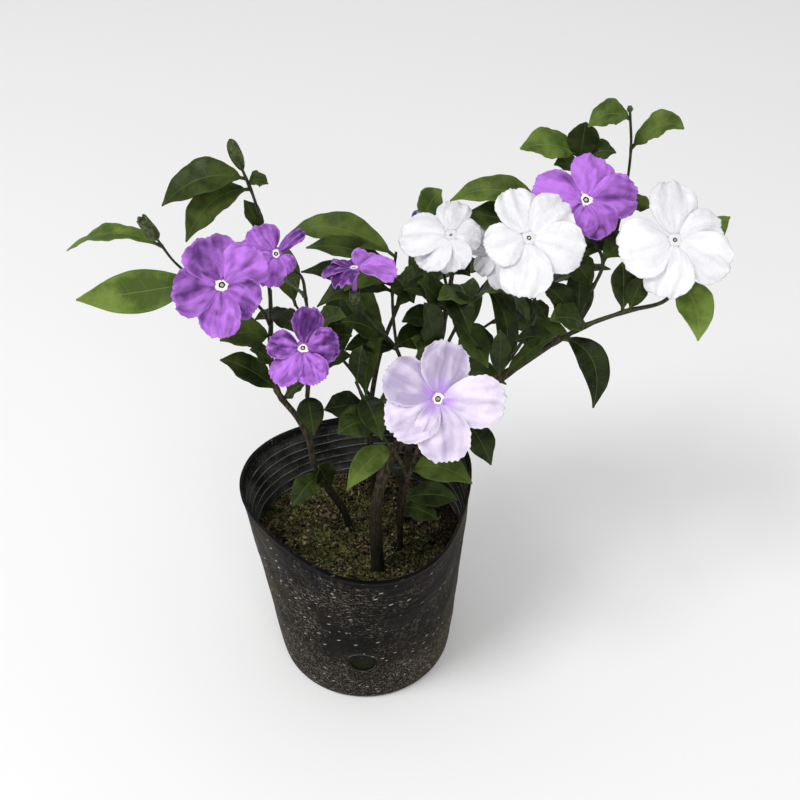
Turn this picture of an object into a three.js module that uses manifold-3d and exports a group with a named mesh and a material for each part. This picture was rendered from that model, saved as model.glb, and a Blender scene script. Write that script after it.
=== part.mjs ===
// A young yesterday-today-and-tomorrow shrub in a soft black nursery pot, in millimetres, +Z up.
// The origin is the centre of the pot's underside, and -Y is the side that the photograph shows.
import * as THREE from "three";
import Module from "manifold-3d";

const wasm = await Module();
wasm.setup();

// Driving sizes of the pot
const POT_HEIGHT = 130;
const RIM_RADIUS = 65;
const BASE_RADIUS = 52.8;
const WALL = 1.2;
const POT_SIDES = 24;
const FOOT_ROUNDING = 3;
const WAIST_HEIGHT = 54; // one ring of points half way up the plain wall
const LIP_BAND = 5; // plain band between the rim and the first ring
const RING_COUNT = 6;
const RING_PITCH = 6.2;
const RING_DEPTH = 0.6;
const RIM_SQUEEZE = 0.078; // the soft rim is pressed into a rounded triangle by this share
const RIM_SQUEEZE_TURN = THREE.MathUtils.degToRad(138);
const HOLE_COUNT = 4;
const HOLE_RADIUS = 7.5;
const HOLE_HEIGHT = 40;
const HOLE_SIDES = 12;
const HOLE_CLEAR = 8; // the drill starts this far inside the foot's radius
const LIP_ROLL = 0.4; // the lip stands out past the wall by this much

// Driving sizes of the soil and what stands in it
const SOIL_LEVEL = 87;
const SOIL_RISE_LEFT = 0.055; // mm of height for each mm towards -X
const SOIL_FALL_BACK = 0.06; // mm of height lost for each mm towards +Y
const ROOTING_DEPTH = 34;
const COLLAR_HEIGHT = 6; // stems stand plumb up to this height above the soil
const GAP = 0.3; // clearance between pieces that touch
const SOIL_CLEAR = 0.2; // added beside the wall, whose flats cut inside its curve
const SOCKET_CLEAR = 0.15; // added round a stem for the same reason

// Driving sizes of the plant
const LEAF_THICKNESS = 0.75;
const LEAF_KEEL = 0.2; // rise of each leaf edge above the midrib, as a share of the half width
const PETAL_THICKNESS = 0.7;
const TUBE_LENGTH = 17;
const TUBE_RADIUS = 1.25;
const THROAT_RADIUS = 3;
const CALYX_LENGTH = 8;
const CALYX_RADIUS = 2.5;
const CALYX_FOOT = 1.1;
const SOCKET_DEPTH = 5;
const TWIG_IN_CALYX = 1; // how far a twig's end reaches into its calyx
const STRAIGHT_END = 5; // a twig runs straight for this far into its calyx
const ROOM_LENGTH = 12; // nothing else of the stem comes nearer to a bloom's tube over this length
const STEM_SIDES = 5;
const TWIG_SIDES = 5;
const CUP_SIDES = 5;
const FIRST_SEED = 101; // of the leaves set by rule

// The photograph's eye, which places of stems, leaves and blooms are read against.
// The picture is 800 pixels square, and a place is two pixels and a depth along Y.
const PICTURE_CENTRE = 400;
const FOCAL_PIXELS = 1111;
const EYE_DISTANCE = 584;
const EYE_ELEVATION = THREE.MathUtils.degToRad(41.6);
const LOOKED_AT = new THREE.Vector3(21.6, 0, 195.2);

const EYE_BACK = new THREE.Vector3(0, -Math.cos(EYE_ELEVATION), Math.sin(EYE_ELEVATION));
const EYE_RIGHT = new THREE.Vector3(1, 0, 0);
const EYE_UP = new THREE.Vector3().crossVectors(EYE_BACK, EYE_RIGHT);
const EYE = LOOKED_AT.clone().addScaledVector(EYE_BACK, EYE_DISTANCE);

function sightLine(px, py) {
  return EYE_BACK.clone()
    .multiplyScalar(-FOCAL_PIXELS)
    .addScaledVector(EYE_RIGHT, px - PICTURE_CENTRE)
    .addScaledVector(EYE_UP, PICTURE_CENTRE - py);
}

// The point seen at a pixel, at depth y.
function seen(px, py, y) {
  const line = sightLine(px, py);
  return EYE.clone().addScaledVector(line, (y - EYE.y) / line.y);
}

// The point of the level z seen at a pixel.
function seenOnLevel(px, py, z) {
  const line = sightLine(px, py);
  return EYE.clone().addScaledVector(line, (z - EYE.z) / line.z);
}

function pixelOf(point) {
  const offset = point.clone().sub(EYE);
  const scale = FOCAL_PIXELS / -offset.dot(EYE_BACK);
  return [PICTURE_CENTRE + scale * offset.dot(EYE_RIGHT), PICTURE_CENTRE - scale * offset.dot(EYE_UP)];
}

function toManifold(points, triangles) {
  const vertProperties = new Float32Array(points.length * 3);
  points.forEach((point, i) => point.toArray(vertProperties, i * 3));
  return new wasm.Manifold(
    new wasm.Mesh({ numProp: 3, vertProperties, triVerts: new Uint32Array(triangles) }),
  );
}

function union(solids) {
  return solids.slice(1).reduce((joined, solid) => joined.add(solid), solids[0]);
}

// A closed body of rings: each profile entry but the first and last is one ring,
// and place(entry, angle) gives a ring's point. The two ends close on their own centre.
function ringed(profile, sides, place) {
  const points = [place(profile[0], 0)];
  const rings = profile.slice(1, -1);
  for (const entry of rings) {
    for (let k = 0; k < sides; k++) points.push(place(entry, (k / sides) * 2 * Math.PI));
  }
  points.push(place(profile.at(-1), 0));
  const triangles = [];
  const at = (ring, k) => 1 + ring * sides + (k % sides);
  const last = points.length - 1;
  for (let k = 0; k < sides; k++) {
    triangles.push(0, at(0, k + 1), at(0, k));
    for (let ring = 0; ring < rings.length - 1; ring++) {
      triangles.push(at(ring, k), at(ring, k + 1), at(ring + 1, k + 1));
      triangles.push(at(ring, k), at(ring + 1, k + 1), at(ring + 1, k));
    }
    triangles.push(last, at(rings.length - 1, k), at(rings.length - 1, k + 1));
  }
  return toManifold(points, triangles);
}

// A round body along a curve. The profile's entries are [share of the curve, radius].
function alongCurve(curve, profile, sides) {
  const chord = curve.getPointAt(1).sub(curve.getPointAt(0)).normalize();
  const reference = Math.abs(chord.x) < 0.7 ? new THREE.Vector3(1, 0, 0) : new THREE.Vector3(0, 1, 0);
  return ringed(profile, sides, ([share, radius], angle) => {
    const tangent = curve.getTangentAt(share);
    const side = reference.clone().addScaledVector(tangent, -reference.dot(tangent)).normalize();
    const other = new THREE.Vector3().crossVectors(tangent, side);
    return curve
      .getPointAt(share)
      .addScaledVector(side, radius * Math.cos(angle))
      .addScaledVector(other, radius * Math.sin(angle));
  });
}

// A thin closed blade over a grid of points, split into triangles alike on both faces.
function blade(grid, thickness) {
  const rows = grid.length;
  const columns = grid[0].length;
  const points = [];
  const clampTo = (value, most) => Math.max(0, Math.min(most, value));
  for (const side of [1, -1]) {
    for (let i = 0; i < rows; i++) {
      for (let j = 0; j < columns; j++) {
        const along = grid[clampTo(i + 1, rows - 1)][j].clone().sub(grid[clampTo(i - 1, rows - 1)][j]);
        const across = grid[i][clampTo(j + 1, columns - 1)]
          .clone()
          .sub(grid[i][clampTo(j - 1, columns - 1)]);
        const normal = new THREE.Vector3().crossVectors(along, across).normalize();
        points.push(grid[i][j].clone().addScaledVector(normal, (side * thickness) / 2));
      }
    }
  }
  const top = (i, j) => i * columns + j;
  const under = (i, j) => rows * columns + top(i, j);
  const triangles = [];
  for (let i = 0; i < rows - 1; i++) {
    for (let j = 0; j < columns - 1; j++) {
      triangles.push(top(i, j), top(i + 1, j), top(i + 1, j + 1));
      triangles.push(top(i, j), top(i + 1, j + 1), top(i, j + 1));
      triangles.push(under(i, j), under(i + 1, j + 1), under(i + 1, j));
      triangles.push(under(i, j), under(i, j + 1), under(i + 1, j + 1));
    }
  }
  const wall = (i, j, i2, j2) => {
    triangles.push(top(i, j), under(i2, j2), under(i, j));
    triangles.push(top(i, j), top(i2, j2), under(i2, j2));
  };
  for (let i = 0; i < rows - 1; i++) {
    wall(i + 1, 0, i, 0);
    wall(i, columns - 1, i + 1, columns - 1);
  }
  for (let j = 0; j < columns - 1; j++) {
    wall(0, j, 0, j + 1);
    wall(rows - 1, j + 1, rows - 1, j);
  }
  const solid = toManifold(points, triangles);
  return solid.volume() < 0 ? toManifold(points, triangles.reverse()) : solid;
}

const UP = new THREE.Vector3(0, 0, 1);

// The rim's rounded triangle fades to a true circle at the foot.
function lobed(radius, angle, z) {
  const share = THREE.MathUtils.clamp(z / POT_HEIGHT, 0, 1) ** 1.5;
  const squeeze = RIM_SQUEEZE * share * Math.cos(3 * angle - RIM_SQUEEZE_TURN);
  const around = radius * (1 + squeeze);
  return new THREE.Vector3(around * Math.cos(angle), around * Math.sin(angle), z);
}

function outerRadius(z) {
  return BASE_RADIUS + ((RIM_RADIUS - BASE_RADIUS) * z) / POT_HEIGHT;
}

// Entries are [radius, z]. The rings are pressed into the inner face. The outer face is smooth.
function potProfile() {
  const outer = [];
  const inner = [];
  outer.push([BASE_RADIUS - FOOT_ROUNDING, 0]);
  outer.push([BASE_RADIUS - 0.3 * FOOT_ROUNDING, 0.3 * FOOT_ROUNDING]);
  outer.push([outerRadius(FOOT_ROUNDING), FOOT_ROUNDING]);
  inner.push([BASE_RADIUS - FOOT_ROUNDING, WALL]);
  inner.push([outerRadius(FOOT_ROUNDING) - WALL, FOOT_ROUNDING + WALL]);
  outer.push([outerRadius(WAIST_HEIGHT), WAIST_HEIGHT]);
  inner.push([outerRadius(WAIST_HEIGHT) - WALL, WAIST_HEIGHT]);
  const lowestRing = POT_HEIGHT - LIP_BAND - RING_COUNT * RING_PITCH;
  for (let i = 0; i <= 2 * RING_COUNT; i++) {
    const z = lowestRing + (i * RING_PITCH) / 2;
    const swell = (i % 2) * RING_DEPTH;
    inner.push([outerRadius(z) + swell - WALL, z]);
  }
  outer.push([RIM_RADIUS + LIP_ROLL, POT_HEIGHT - 1]);
  outer.push([RIM_RADIUS, POT_HEIGHT]);
  inner.push([RIM_RADIUS - 1.2 * WALL, POT_HEIGHT]);
  return [[0, 0], ...outer, ...inner.reverse(), [0, WALL]];
}

function potSolid() {
  let pot = ringed(potProfile(), POT_SIDES, ([radius, z], angle) => lobed(radius, angle, z));
  for (let i = 0; i < HOLE_COUNT; i++) {
    const angle = -Math.PI / 2 + (i * 2 * Math.PI) / HOLE_COUNT;
    const outward = new THREE.Vector3(Math.cos(angle), Math.sin(angle), 0);
    const from = outward.clone().multiplyScalar(BASE_RADIUS - HOLE_CLEAR).setZ(HOLE_HEIGHT);
    const to = outward.clone().multiplyScalar(RIM_RADIUS + HOLE_CLEAR).setZ(HOLE_HEIGHT);
    const axis = new THREE.LineCurve3(from, to);
    const drill = [[0, 0], [0, HOLE_RADIUS], [1, HOLE_RADIUS], [1, 0]];
    pot = pot.subtract(alongCurve(axis, drill, HOLE_SIDES));
  }
  return pot;
}

function soilHeight(x, y) {
  const slope = -SOIL_RISE_LEFT * x - SOIL_FALL_BACK * y;
  const lumps = 0.9 * Math.sin(0.21 * x + 1.3) * Math.sin(0.18 * y) + 0.7 * Math.sin(0.37 * x - 0.31 * y);
  return SOIL_LEVEL + slope + lumps;
}

// Entries are [radius share of the wall, whether it lies on the top, z].
function soilSolid(sockets) {
  const foot = WALL + GAP;
  const clear = foot + SOIL_CLEAR;
  const profile = [[0, false, foot], [(BASE_RADIUS - FOOT_ROUNDING) / BASE_RADIUS, false, foot]];
  profile.push([1, false, FOOT_ROUNDING + 2 * WALL], [1, false, WAIST_HEIGHT]);
  for (const share of [1, 0.8, 0.54, 0.27]) profile.push([share, true, 0]);
  profile.push([0, true, 0]);
  let soil = ringed(profile, POT_SIDES, ([share, onTop, z], angle) => {
    let level = z;
    if (onTop) {
      const edge = lobed(outerRadius(SOIL_LEVEL) * share, angle, SOIL_LEVEL);
      level = soilHeight(edge.x, edge.y);
    }
    return lobed((outerRadius(level) - clear) * share, angle, level);
  });
  for (const socket of sockets) soil = soil.subtract(socket);
  return soil;
}

// Twigs. Each entry: name, leafy stem, what it grows from and where on that (share of its length),
// radius at the start and at the end, then the places seen along it. The first place of a twig
// that grows from "soil" is where it enters the soil.
const TWIGS = [
  ["trunk", "right", "soil", 0, 4.2, 1.6,
    [[378, 570], [376, 510, -24], [386, 468, -20], [408, 430, -9], [445, 404, -1], [490, 387, 3],
      [530, 357, 4], [562, 337, 3]]],
  ["arm", "right", "trunk", 0.97, 1.5, 1.0, [[596, 321, 2], [640, 307, 4], [687, 288, 9]]],
  ["spur", "right", "arm", 0.12, 1.15, 1.0, [[590, 292, 12], [603, 262, 22]]],
  ["shoot", "right", "spur", 0.45, 1.0, 0.75,
    [[618, 228, 48], [628, 175, 60], [631, 148, 56], [630, 112, 48]]],
  ["crest", "right", "spur", 0.6, 1.0, 0.8, [[594, 215, 64], [577, 155, 68]]],
  ["post", "right", "trunk", 0.78, 1.2, 1.0, [[532, 325, 12], [534, 290, 24]]],
  ["perch", "right", "post", 0.6, 1.0, 0.8, [[546, 262, 38], [548, 212, 52]]],
  ["leg", "left", "soil", 0, 2.3, 1.1,
    [[348, 527], [335, 497, 4], [315, 467, -2], [308, 437, -6], [299, 420, -8], [289, 405, -9],
      [277, 390, -8], [271, 355, -2], [271, 325, 16], [270, 290, 38]]],
  ["lift", "left", "leg", 0.97, 1.1, 0.85,
    [[264, 240, 50], [254, 198, 48], [248, 184, 47], [242, 169, 46]]],
  ["elbow", "left", "leg", 0.88, 1.1, 0.95, [[254, 300, 24]]],
  ["reach", "left", "elbow", 0.45, 0.95, 0.7,
    [[215, 287, 28], [184, 272, 24], [166, 250, 21], [157, 239, 20]]],
  ["low", "left", "leg", 0.5, 1.3, 1.0, [[307, 392, -7]]],
  ["mast", "left", "low", 0.4, 1.1, 0.95, [[310, 350, 2], [306, 305, 18], [303, 276, 36]]],
  ["fore", "front", "soil", 0, 2.0, 1.1, [[400, 548], [402, 500, -14], [412, 465, -18], [425, 432, -22]]],
  ["side", "front", "fore", 0.55, 1.3, 0.85, [[392, 447, -27], [370, 417, -24], [356, 382, -18]]],
  ["slant", "front", "fore", 0.7, 1.1, 0.85, [[440, 442, -14], [468, 424, -8]]],
  ["stake", "back", "soil", 0, 2.6, 1.1,
    [[400, 520], [405, 470, 12], [415, 420, 17], [432, 372, 25], [445, 320, 34], [452, 275, 46]]],
  ["fork", "back", "stake", 0.62, 1.25, 1.0, [[466, 310, 44], [486, 284, 54]]],
  ["swing", "back", "stake", 0.45, 1.3, 1.0, [[398, 352, 22], [374, 326, 12]]],
  ["lean", "back", "swing", 0.5, 1.05, 0.8, [[392, 300, 40], [396, 252, 46]]],
  ["peak", "back", "stake", 0.86, 1.05, 0.8, [[438, 255, 64], [421, 222, 72]]],
  ["hind", "rear", "soil", 0, 2.2, 1.0,
    [[374, 496], [370, 440, 36], [374, 380, 52], [388, 330, 66], [404, 292, 80]]],
  ["hind_right", "rear", "hind", 0.5, 1.3, 0.85, [[430, 368, 58], [480, 330, 70], [525, 300, 78]]],
  ["hind_left", "rear", "hind", 0.6, 1.3, 0.85, [[348, 366, 58], [318, 335, 64], [296, 306, 66]]],
];

// Leaves. Each entry: twig, where the leaf leaves it, its tip with a depth, width, rise of its arch,
// bow to the right, and how far its face turns from the sky (0) towards the photograph's eye (1).
const LEAVES = [
  ["lift", 244, 179, 162, 206, 40, 21, 8, 0, 0.5],
  ["lift", 250, 190, 186, 242, 34, 19, 8, -2, 0.5],
  ["lift", 249, 186, 268, 184, 50, 9, 3, 0, 0.5],
  ["lift", 264, 235, 244, 200, 56, 9, 2, 0, 0.3],
  ["reach", 164, 247, 67, 251, 30, 13, 9, 0, 0.1],
  ["reach", 200, 280, 76, 300, 12, 22, -1, 0, 1],
  ["leg", 272, 335, 220, 341, -4, 17, 4, 0, 0.7],
  ["leg", 271, 312, 302, 336, 0, 12, 3, 0, 0.5],
  ["leg", 278, 392, 220, 360, -14, 15, 4, 0, 0.5],
  ["leg", 271, 364, 250, 350, -8, 10, 3, 0, 0.5],
  ["leg", 283, 397, 307, 383, -16, 10, 2, 0, 0.5],
  ["leg", 322, 478, 292, 507, -18, 14, 4, 0, 0.6],
  ["leg", 330, 488, 318, 466, -6, 14, 3, 0, 0.6],
  ["mast", 304, 300, 283, 281, 4, 11, 2, 0, 0.5],
  ["mast", 309, 335, 346, 317, -8, 14, 4, 0, 0.5],
  ["mast", 309, 350, 352, 336, -4, 14, 4, 0, 0.5],
  ["mast", 308, 372, 352, 356, -12, 12, 3, 0, 0.5],
  ["low", 306, 396, 314, 436, -18, 14, 4, 0, 0.6],
  ["side", 392, 447, 347, 490, -54, 14, 6, 0, 0.7],
  ["side", 374, 423, 338, 434, -38, 18, 4, 0, 0.7],
  ["side", 364, 406, 324, 410, -26, 15, 1, 0, 0.5],
  ["side", 360, 395, 382, 440, -36, 14, 4, 0, 0.6],
  ["side", 356, 384, 362, 346, -22, 10, 3, 0, 0.5],
  ["slant", 466, 426, 502, 413, -14, 14, 3, 0, 0.5],
  ["slant", 468, 425, 491, 465, -22, 15, 4, 0, 0.6],
  ["fore", 409, 468, 472, 484, -42, 17, 7, 0, 0.6],
  ["fore", 402, 498, 458, 500, -12, 15, 4, 0, 0.5],
  ["fore", 401, 508, 438, 520, -20, 13, 3, 0, 0.5],
  ["stake", 430, 374, 412, 338, 12, 14, 4, 0, 0.6],
  ["fork", 455, 325, 488, 368, 30, 16, 5, 0, 0.6],
  ["trunk", 500, 382, 500, 330, -4, 11, 3, 0, 0.6],
  ["lean", 395, 256, 291, 232, 54, 19, 9, 0, 0.5],
  ["lean", 394, 270, 306, 248, 32, 14, 6, 0, 0.5],
  ["lean", 393, 285, 301, 272, 44, 13, 4, 0, 0.5],
  ["lean", 393, 292, 317, 307, 24, 14, 9, 0, 0.5],
  ["swing", 390, 340, 342, 322, 14, 15, 4, 0, 0.5],
  ["swing", 396, 350, 345, 350, 6, 14, 4, 0, 0.5],
  ["peak", 418, 215, 442, 190, 76, 15, 3, 0, 0.5],
  ["perch", 548, 214, 450, 201, 62, 17, 10, 0, 0.5],
  ["perch", 547, 240, 464, 214, 62, 20, 4, 0, 0.6],
  ["fork", 470, 302, 438, 300, 26, 15, 4, 0, 0.5],
  ["fork", 476, 296, 504, 292, 30, 14, 4, 0, 0.5],
  ["post", 532, 322, 503, 284, 2, 11, 3, 0, 0.5],
  ["post", 533, 300, 547, 322, 8, 8, 2, 0, 0.5],
  ["shoot", 630, 120, 588, 127, 50, 15, 5, 0, 0.5],
  ["shoot", 631, 150, 684, 129, 44, 16, 7, 0, 0.5],
  ["shoot", 622, 210, 652, 207, 56, 11, 3, 0, 0.5],
  ["crest", 577, 156, 520, 149, 62, 19, 4, 0, 0.5],
  ["crest", 578, 164, 586, 122, 68, 16, 3, 0, 0.5],
  ["crest", 579, 166, 616, 153, 66, 13, 4, 0, 0.5],
  ["crest", 582, 175, 554, 165, 62, 12, 3, 0, 0.5],
  ["arm", 682, 286, 730, 217, 32, 14, 6, 0, 0.5],
  ["arm", 688, 286, 698, 341, -16, 18, 4, 3, 1],
  ["arm", 622, 311, 622, 262, 14, 13, 4, 0, 0.5],
  ["arm", 628, 310, 644, 278, 4, 11, 3, 0, 0.5],
  ["arm", 580, 324, 541, 284, 8, 14, 4, 0, 0.5],
  ["spur", 592, 288, 566, 262, 24, 15, 4, 0, 0.5],
  ["trunk", 508, 374, 556, 336, -10, 10, 3, 0, 0.5],
  ["arm", 586, 324, 550, 320, -8, 17, 3, 0, 0.5],
  ["trunk", 560, 338, 593, 408, -24, 15, 7, 7, 0.9],
  ["swing", 384, 336, 366, 397, -2, 10, 7, -3, 0.6],
  ["stake", 447, 305, 404, 290, 28, 15, 5, 0, 0.5],
  ["stake", 442, 330, 402, 322, 22, 15, 5, 0, 0.5],
  ["stake", 449, 292, 470, 334, 22, 15, 4, 0, 0.6],
  ["lean", 393, 290, 430, 280, 36, 14, 4, 0, 0.5],
  ["peak", 436, 258, 408, 274, 54, 14, 5, 0, 0.5],
  ["fork", 460, 322, 497, 352, 36, 13, 0, 0, 0.6],
  ["fork", 484, 288, 529, 329, 46, 16, 5, 4, 0.6],
  ["fork", 486, 286, 496, 376, 22, 12, 2, 9, 0.7],
  ["trunk", 556, 341, 515, 341, 10, 11, 3, 0, 0.7],
  ["arm", 574, 326, 580, 264, 22, 14, 3, 0, 0.5],
  ["shoot", 617, 232, 583, 259, 34, 12, 4, 0, 0.5],
  ["lean", 394, 275, 414, 303, 30, 14, 2, 0, 0.6],
  ["stake", 437, 350, 424, 303, 12, 16, 3, 0, 0.6],
  ["spur", 604, 258, 634, 240, 36, 14, 3, 0, 0.5],
  ["lean", 393, 276, 344, 291, 26, 15, 5, 0, 0.5],
  ["stake", 440, 335, 394, 348, 10, 17, 4, 0, 0.6],
  ["stake", 444, 312, 418, 282, 26, 16, 3, 0, 0.6],
  ["peak", 440, 262, 470, 276, 48, 15, 4, 0, 0.5],
  ["stake", 434, 360, 462, 392, 10, 15, 3, 0, 0.6],
];

// Leaves set by rule where the crown is too dense to be read, or turned away from the photograph.
// Each entry: twig, number, first and last share of its length, leaf length, width and first turn.
const SPRAYS = [
  ["stake", 1, 0.46, 0.7, 42, 15, 0],
  ["lean", 1, 0.4, 0.6, 38, 15, 0],
  ["hind", 3, 0.55, 1, 50, 18, 0],
  ["hind_right", 4, 0.4, 1, 50, 18, 0],
  ["hind_left", 3, 0.4, 1, 48, 18, 0],
  ["perch", 1, 0.4, 0.5, 40, 15, 0],
];

// Blooms. Each entry: name, colour, twig, the eye with its depth, how far the face leans to the
// right and up, and five petals: where the tip is seen and the greatest width as a share of the length.
const BLOOMS = [
  ["bloom_purple_left", "purple", "elbow", [222, 285, 5], [-0.1, 0.1],
    [[202, 236, 1.02], [171, 297, 1], [219, 338, 0.84], [257, 307, 1], [261, 252, 0.98]]],
  ["bloom_purple_behind_left", "purple", "mast", [276, 254, 30], [0.1, 0.25],
    [[255, 225, 0.95], [234, 257, 0.9], [270, 286, 0.86], [294, 268, 0.66], [304, 230, 0.34]]],
  ["bloom_purple_edge_on", "purple", "swing", [354, 268, 6], [0, 1.5],
    [[322, 272, 0.9], [336, 259, 0.94], [378, 254, 0.94], [397, 268, 0.94], [340, 283, 0.8]]],
  ["bloom_purple_low", "purple", "low", [303, 348, -28], [0, 0.1],
    [[311, 306, 0.7], [267, 343, 0.84], [275, 383, 0.74], [318, 383, 0.86], [339, 343, 0.98]]],
  ["bloom_purple_top", "purple", "spur", [586, 200, 36], [0.1, 0.15],
    [[598, 155, 0.98], [534, 184, 0.86], [577, 235, 0.92], [608, 235, 0.92], [639, 194, 0.82]]],
  ["bloom_lilac_front", "lilac", "fore", [438, 399, -42], [0, 0],
    [[450, 341, 0.84], [386, 370, 0.86], [389, 431, 0.9], [448, 463, 0.84], [506, 404, 0.8]]],
  ["bloom_white_left", "white", "stake", [451, 235, 42], [-0.2, 0.3],
    [[399, 235, 0.98], [456, 200, 0.9], [481, 236, 1], [455, 270, 1.02], [421, 267, 0.94]]],
  ["bloom_white_middle", "white", "post", [529, 238, 6], [0.1, 0.1],
    [[511, 188, 0.9], [568, 202, 0.92], [585, 254, 0.9], [524, 297, 0.88], [486, 249, 1]]],
  ["bloom_white_behind", "white", "fork", [496, 254, 42], [-0.2, 0.2],
    [[492, 221, 0.94], [470, 236, 0.94], [477, 272, 0.94], [508, 286, 0.94], [526, 246, 0.94]]],
  ["bloom_white_right", "white", "arm", [675, 240, 0], [0.1, 0.1],
    [[672, 180, 0.84], [621, 254, 1.1], [665, 297, 0.84], [731, 269, 0.82], [724, 228, 0.92]]],
];

const PETAL_COLOURS = { purple: 0x9a4fd0, lilac: 0xd9cdee, white: 0xf0f0f4 };

// Where a bloom's eye is, the way its face looks, and the foot of its tube.
function bloomFrame([, , , [px, py, y], [leanRight, leanUp]]) {
  const eye = seen(px, py, y);
  const facing = EYE_BACK.clone()
    .addScaledVector(EYE_RIGHT, leanRight)
    .addScaledVector(EYE_UP, leanUp)
    .normalize();
  return { eye, facing, foot: eye.clone().addScaledVector(facing, -TUBE_LENGTH) };
}

const stemCurves = new Map();

// A twig is a chain of straight lengths, so what grows from it starts well inside it.
class Chain {
  constructor(places, steps, start) {
    const curve = new THREE.CatmullRomCurve3(places, false, "centripetal");
    this.points = curve.getSpacedPoints(steps);
    if (start) this.points.unshift(start);
    this.length = 0;
    for (let i = 1; i < this.points.length; i++) {
      this.length += this.points[i].distanceTo(this.points[i - 1]);
    }
  }

  getPointAt(share) {
    const along = share * (this.points.length - 1);
    const i = Math.min(Math.floor(along), this.points.length - 2);
    return this.points[i].clone().lerp(this.points[i + 1], along - i);
  }

  getTangentAt(share) {
    const step = 0.5 / (this.points.length - 1);
    const before = this.getPointAt(Math.max(0, share - step));
    return this.getPointAt(Math.min(1, share + step)).sub(before).normalize();
  }
}

// How far along a twig something can grow from it: a calyx has a socket at its end.
function lastShare(name) {
  const bears = BLOOMS.some((entry) => entry[2] === name);
  return bears ? 1 - (CALYX_LENGTH + TWIG_IN_CALYX) / stemCurves.get(name).length : 1;
}

function placeOn(name, share) {
  return stemCurves.get(name).getPointAt(Math.min(share, lastShare(name)));
}

function buildCurves() {
  for (const [name, , parent, share, , , places] of TWIGS) {
    const points = [];
    let buried = null;
    if (parent === "soil") {
      const entry = seenOnLevel(places[0][0], places[0][1], SOIL_LEVEL);
      buried = entry.clone().setZ(entry.z - ROOTING_DEPTH);
      points.push(entry.setZ(entry.z + COLLAR_HEIGHT));
      places.slice(1).forEach((place) => points.push(seen(...place)));
    } else {
      points.push(placeOn(parent, share));
      places.forEach((place) => points.push(seen(...place)));
    }
    const bloom = BLOOMS.find((entry) => entry[2] === name);
    if (bloom) {
      const { foot, facing } = bloomFrame(bloom);
      const end = foot.clone().addScaledVector(facing, TWIG_IN_CALYX + SOCKET_DEPTH - CALYX_LENGTH);
      points.push(end.clone().addScaledVector(facing, -STRAIGHT_END), end);
    }
    stemCurves.set(name, new Chain(points, Math.max(3, points.length - 1), buried));
  }
}

// The place on a twig that is seen nearest to a pixel.
function nearestOn(name, px, py) {
  const steps = 60;
  let best = { distance: Infinity };
  for (let i = 0; i <= steps; i++) {
    const point = placeOn(name, i / steps);
    const [x, y] = pixelOf(point);
    const distance = Math.hypot(x - px, y - py);
    if (distance < best.distance) best = { distance, point };
  }
  return best.point;
}

function twigSolid([name, , parent, , thick, thin]) {
  const chain = stemCurves.get(name);
  const sides = parent === "soil" ? STEM_SIDES : TWIG_SIDES;
  const steps = chain.points.length - 1;
  const profile = [[0, 0]];
  for (let i = 0; i <= steps; i++) profile.push([i / steps, thick + ((thin - thick) * i) / steps]);
  profile.push([1, 0]);
  return alongCurve(chain, profile, sides);
}

const LARGE_LEAF = 18; // a leaf wider than this is drawn with more stations
const LARGE_STATIONS = [0, 0.14, 0.4, 0.72, 1];
const SMALL_STATIONS = [0, 0.3, 0.68, 1];
const PETIOLE_HALF_WIDTH = 0.75;
const PETIOLE_SHARE = 0.06; // of the leaf's length
const LEAF_WAVE = 0.9; // rise and fall of each edge
const LEAF_WAVES = 2.5; // along an edge

function leafHalfWidth(width, t) {
  const share = Math.max(0, (t - PETIOLE_SHARE) / (1 - PETIOLE_SHARE));
  const swell = Math.max(0, Math.sin(Math.PI * share ** 0.92)) ** 0.85;
  return Math.max(PETIOLE_HALF_WIDTH * (1 - 0.4 * t), (width / 2) * swell);
}

// A leaf from its root to its tip, arched up, bowed to the right, keeled and waved.
// The direction "face" is the one that its upper side looks to.
function leafSolid(root, tip, width, arch, bow, face, phase) {
  const control = root.clone().add(tip).multiplyScalar(0.5);
  control.addScaledVector(UP, 2 * arch).addScaledVector(EYE_RIGHT, 2 * bow);
  const midrib = new THREE.QuadraticBezierCurve3(root, control, tip);
  const stations = width > LARGE_LEAF ? LARGE_STATIONS : SMALL_STATIONS;
  const grid = stations.map((t) => {
    const centre = midrib.getPoint(t);
    const tangent = midrib.getTangent(t);
    const normal = face.clone().addScaledVector(tangent, -face.dot(tangent)).normalize();
    const side = new THREE.Vector3().crossVectors(tangent, normal);
    const half = leafHalfWidth(width, t);
    return [-1, 0, 1].map((s) => {
      const turn = 2 * Math.PI * LEAF_WAVES * t + phase + s;
      const wave = LEAF_WAVE * Math.sin(turn) * Math.min(1, half / 4);
      return centre
        .clone()
        .addScaledVector(side, s * half)
        .addScaledVector(normal, Math.abs(s) * (LEAF_KEEL * half + wave));
    });
  });
  return blade(grid, LEAF_THICKNESS);
}

// The same numbers come back for the same seed, so every build is alike.
function seededRandom(seed) {
  let state = seed;
  return () => {
    state = (state * 16807) % 2147483647;
    return state / 2147483647;
  };
}

const SPRAY_TURN = 2.4; // radians round the twig from one leaf to the next

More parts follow.
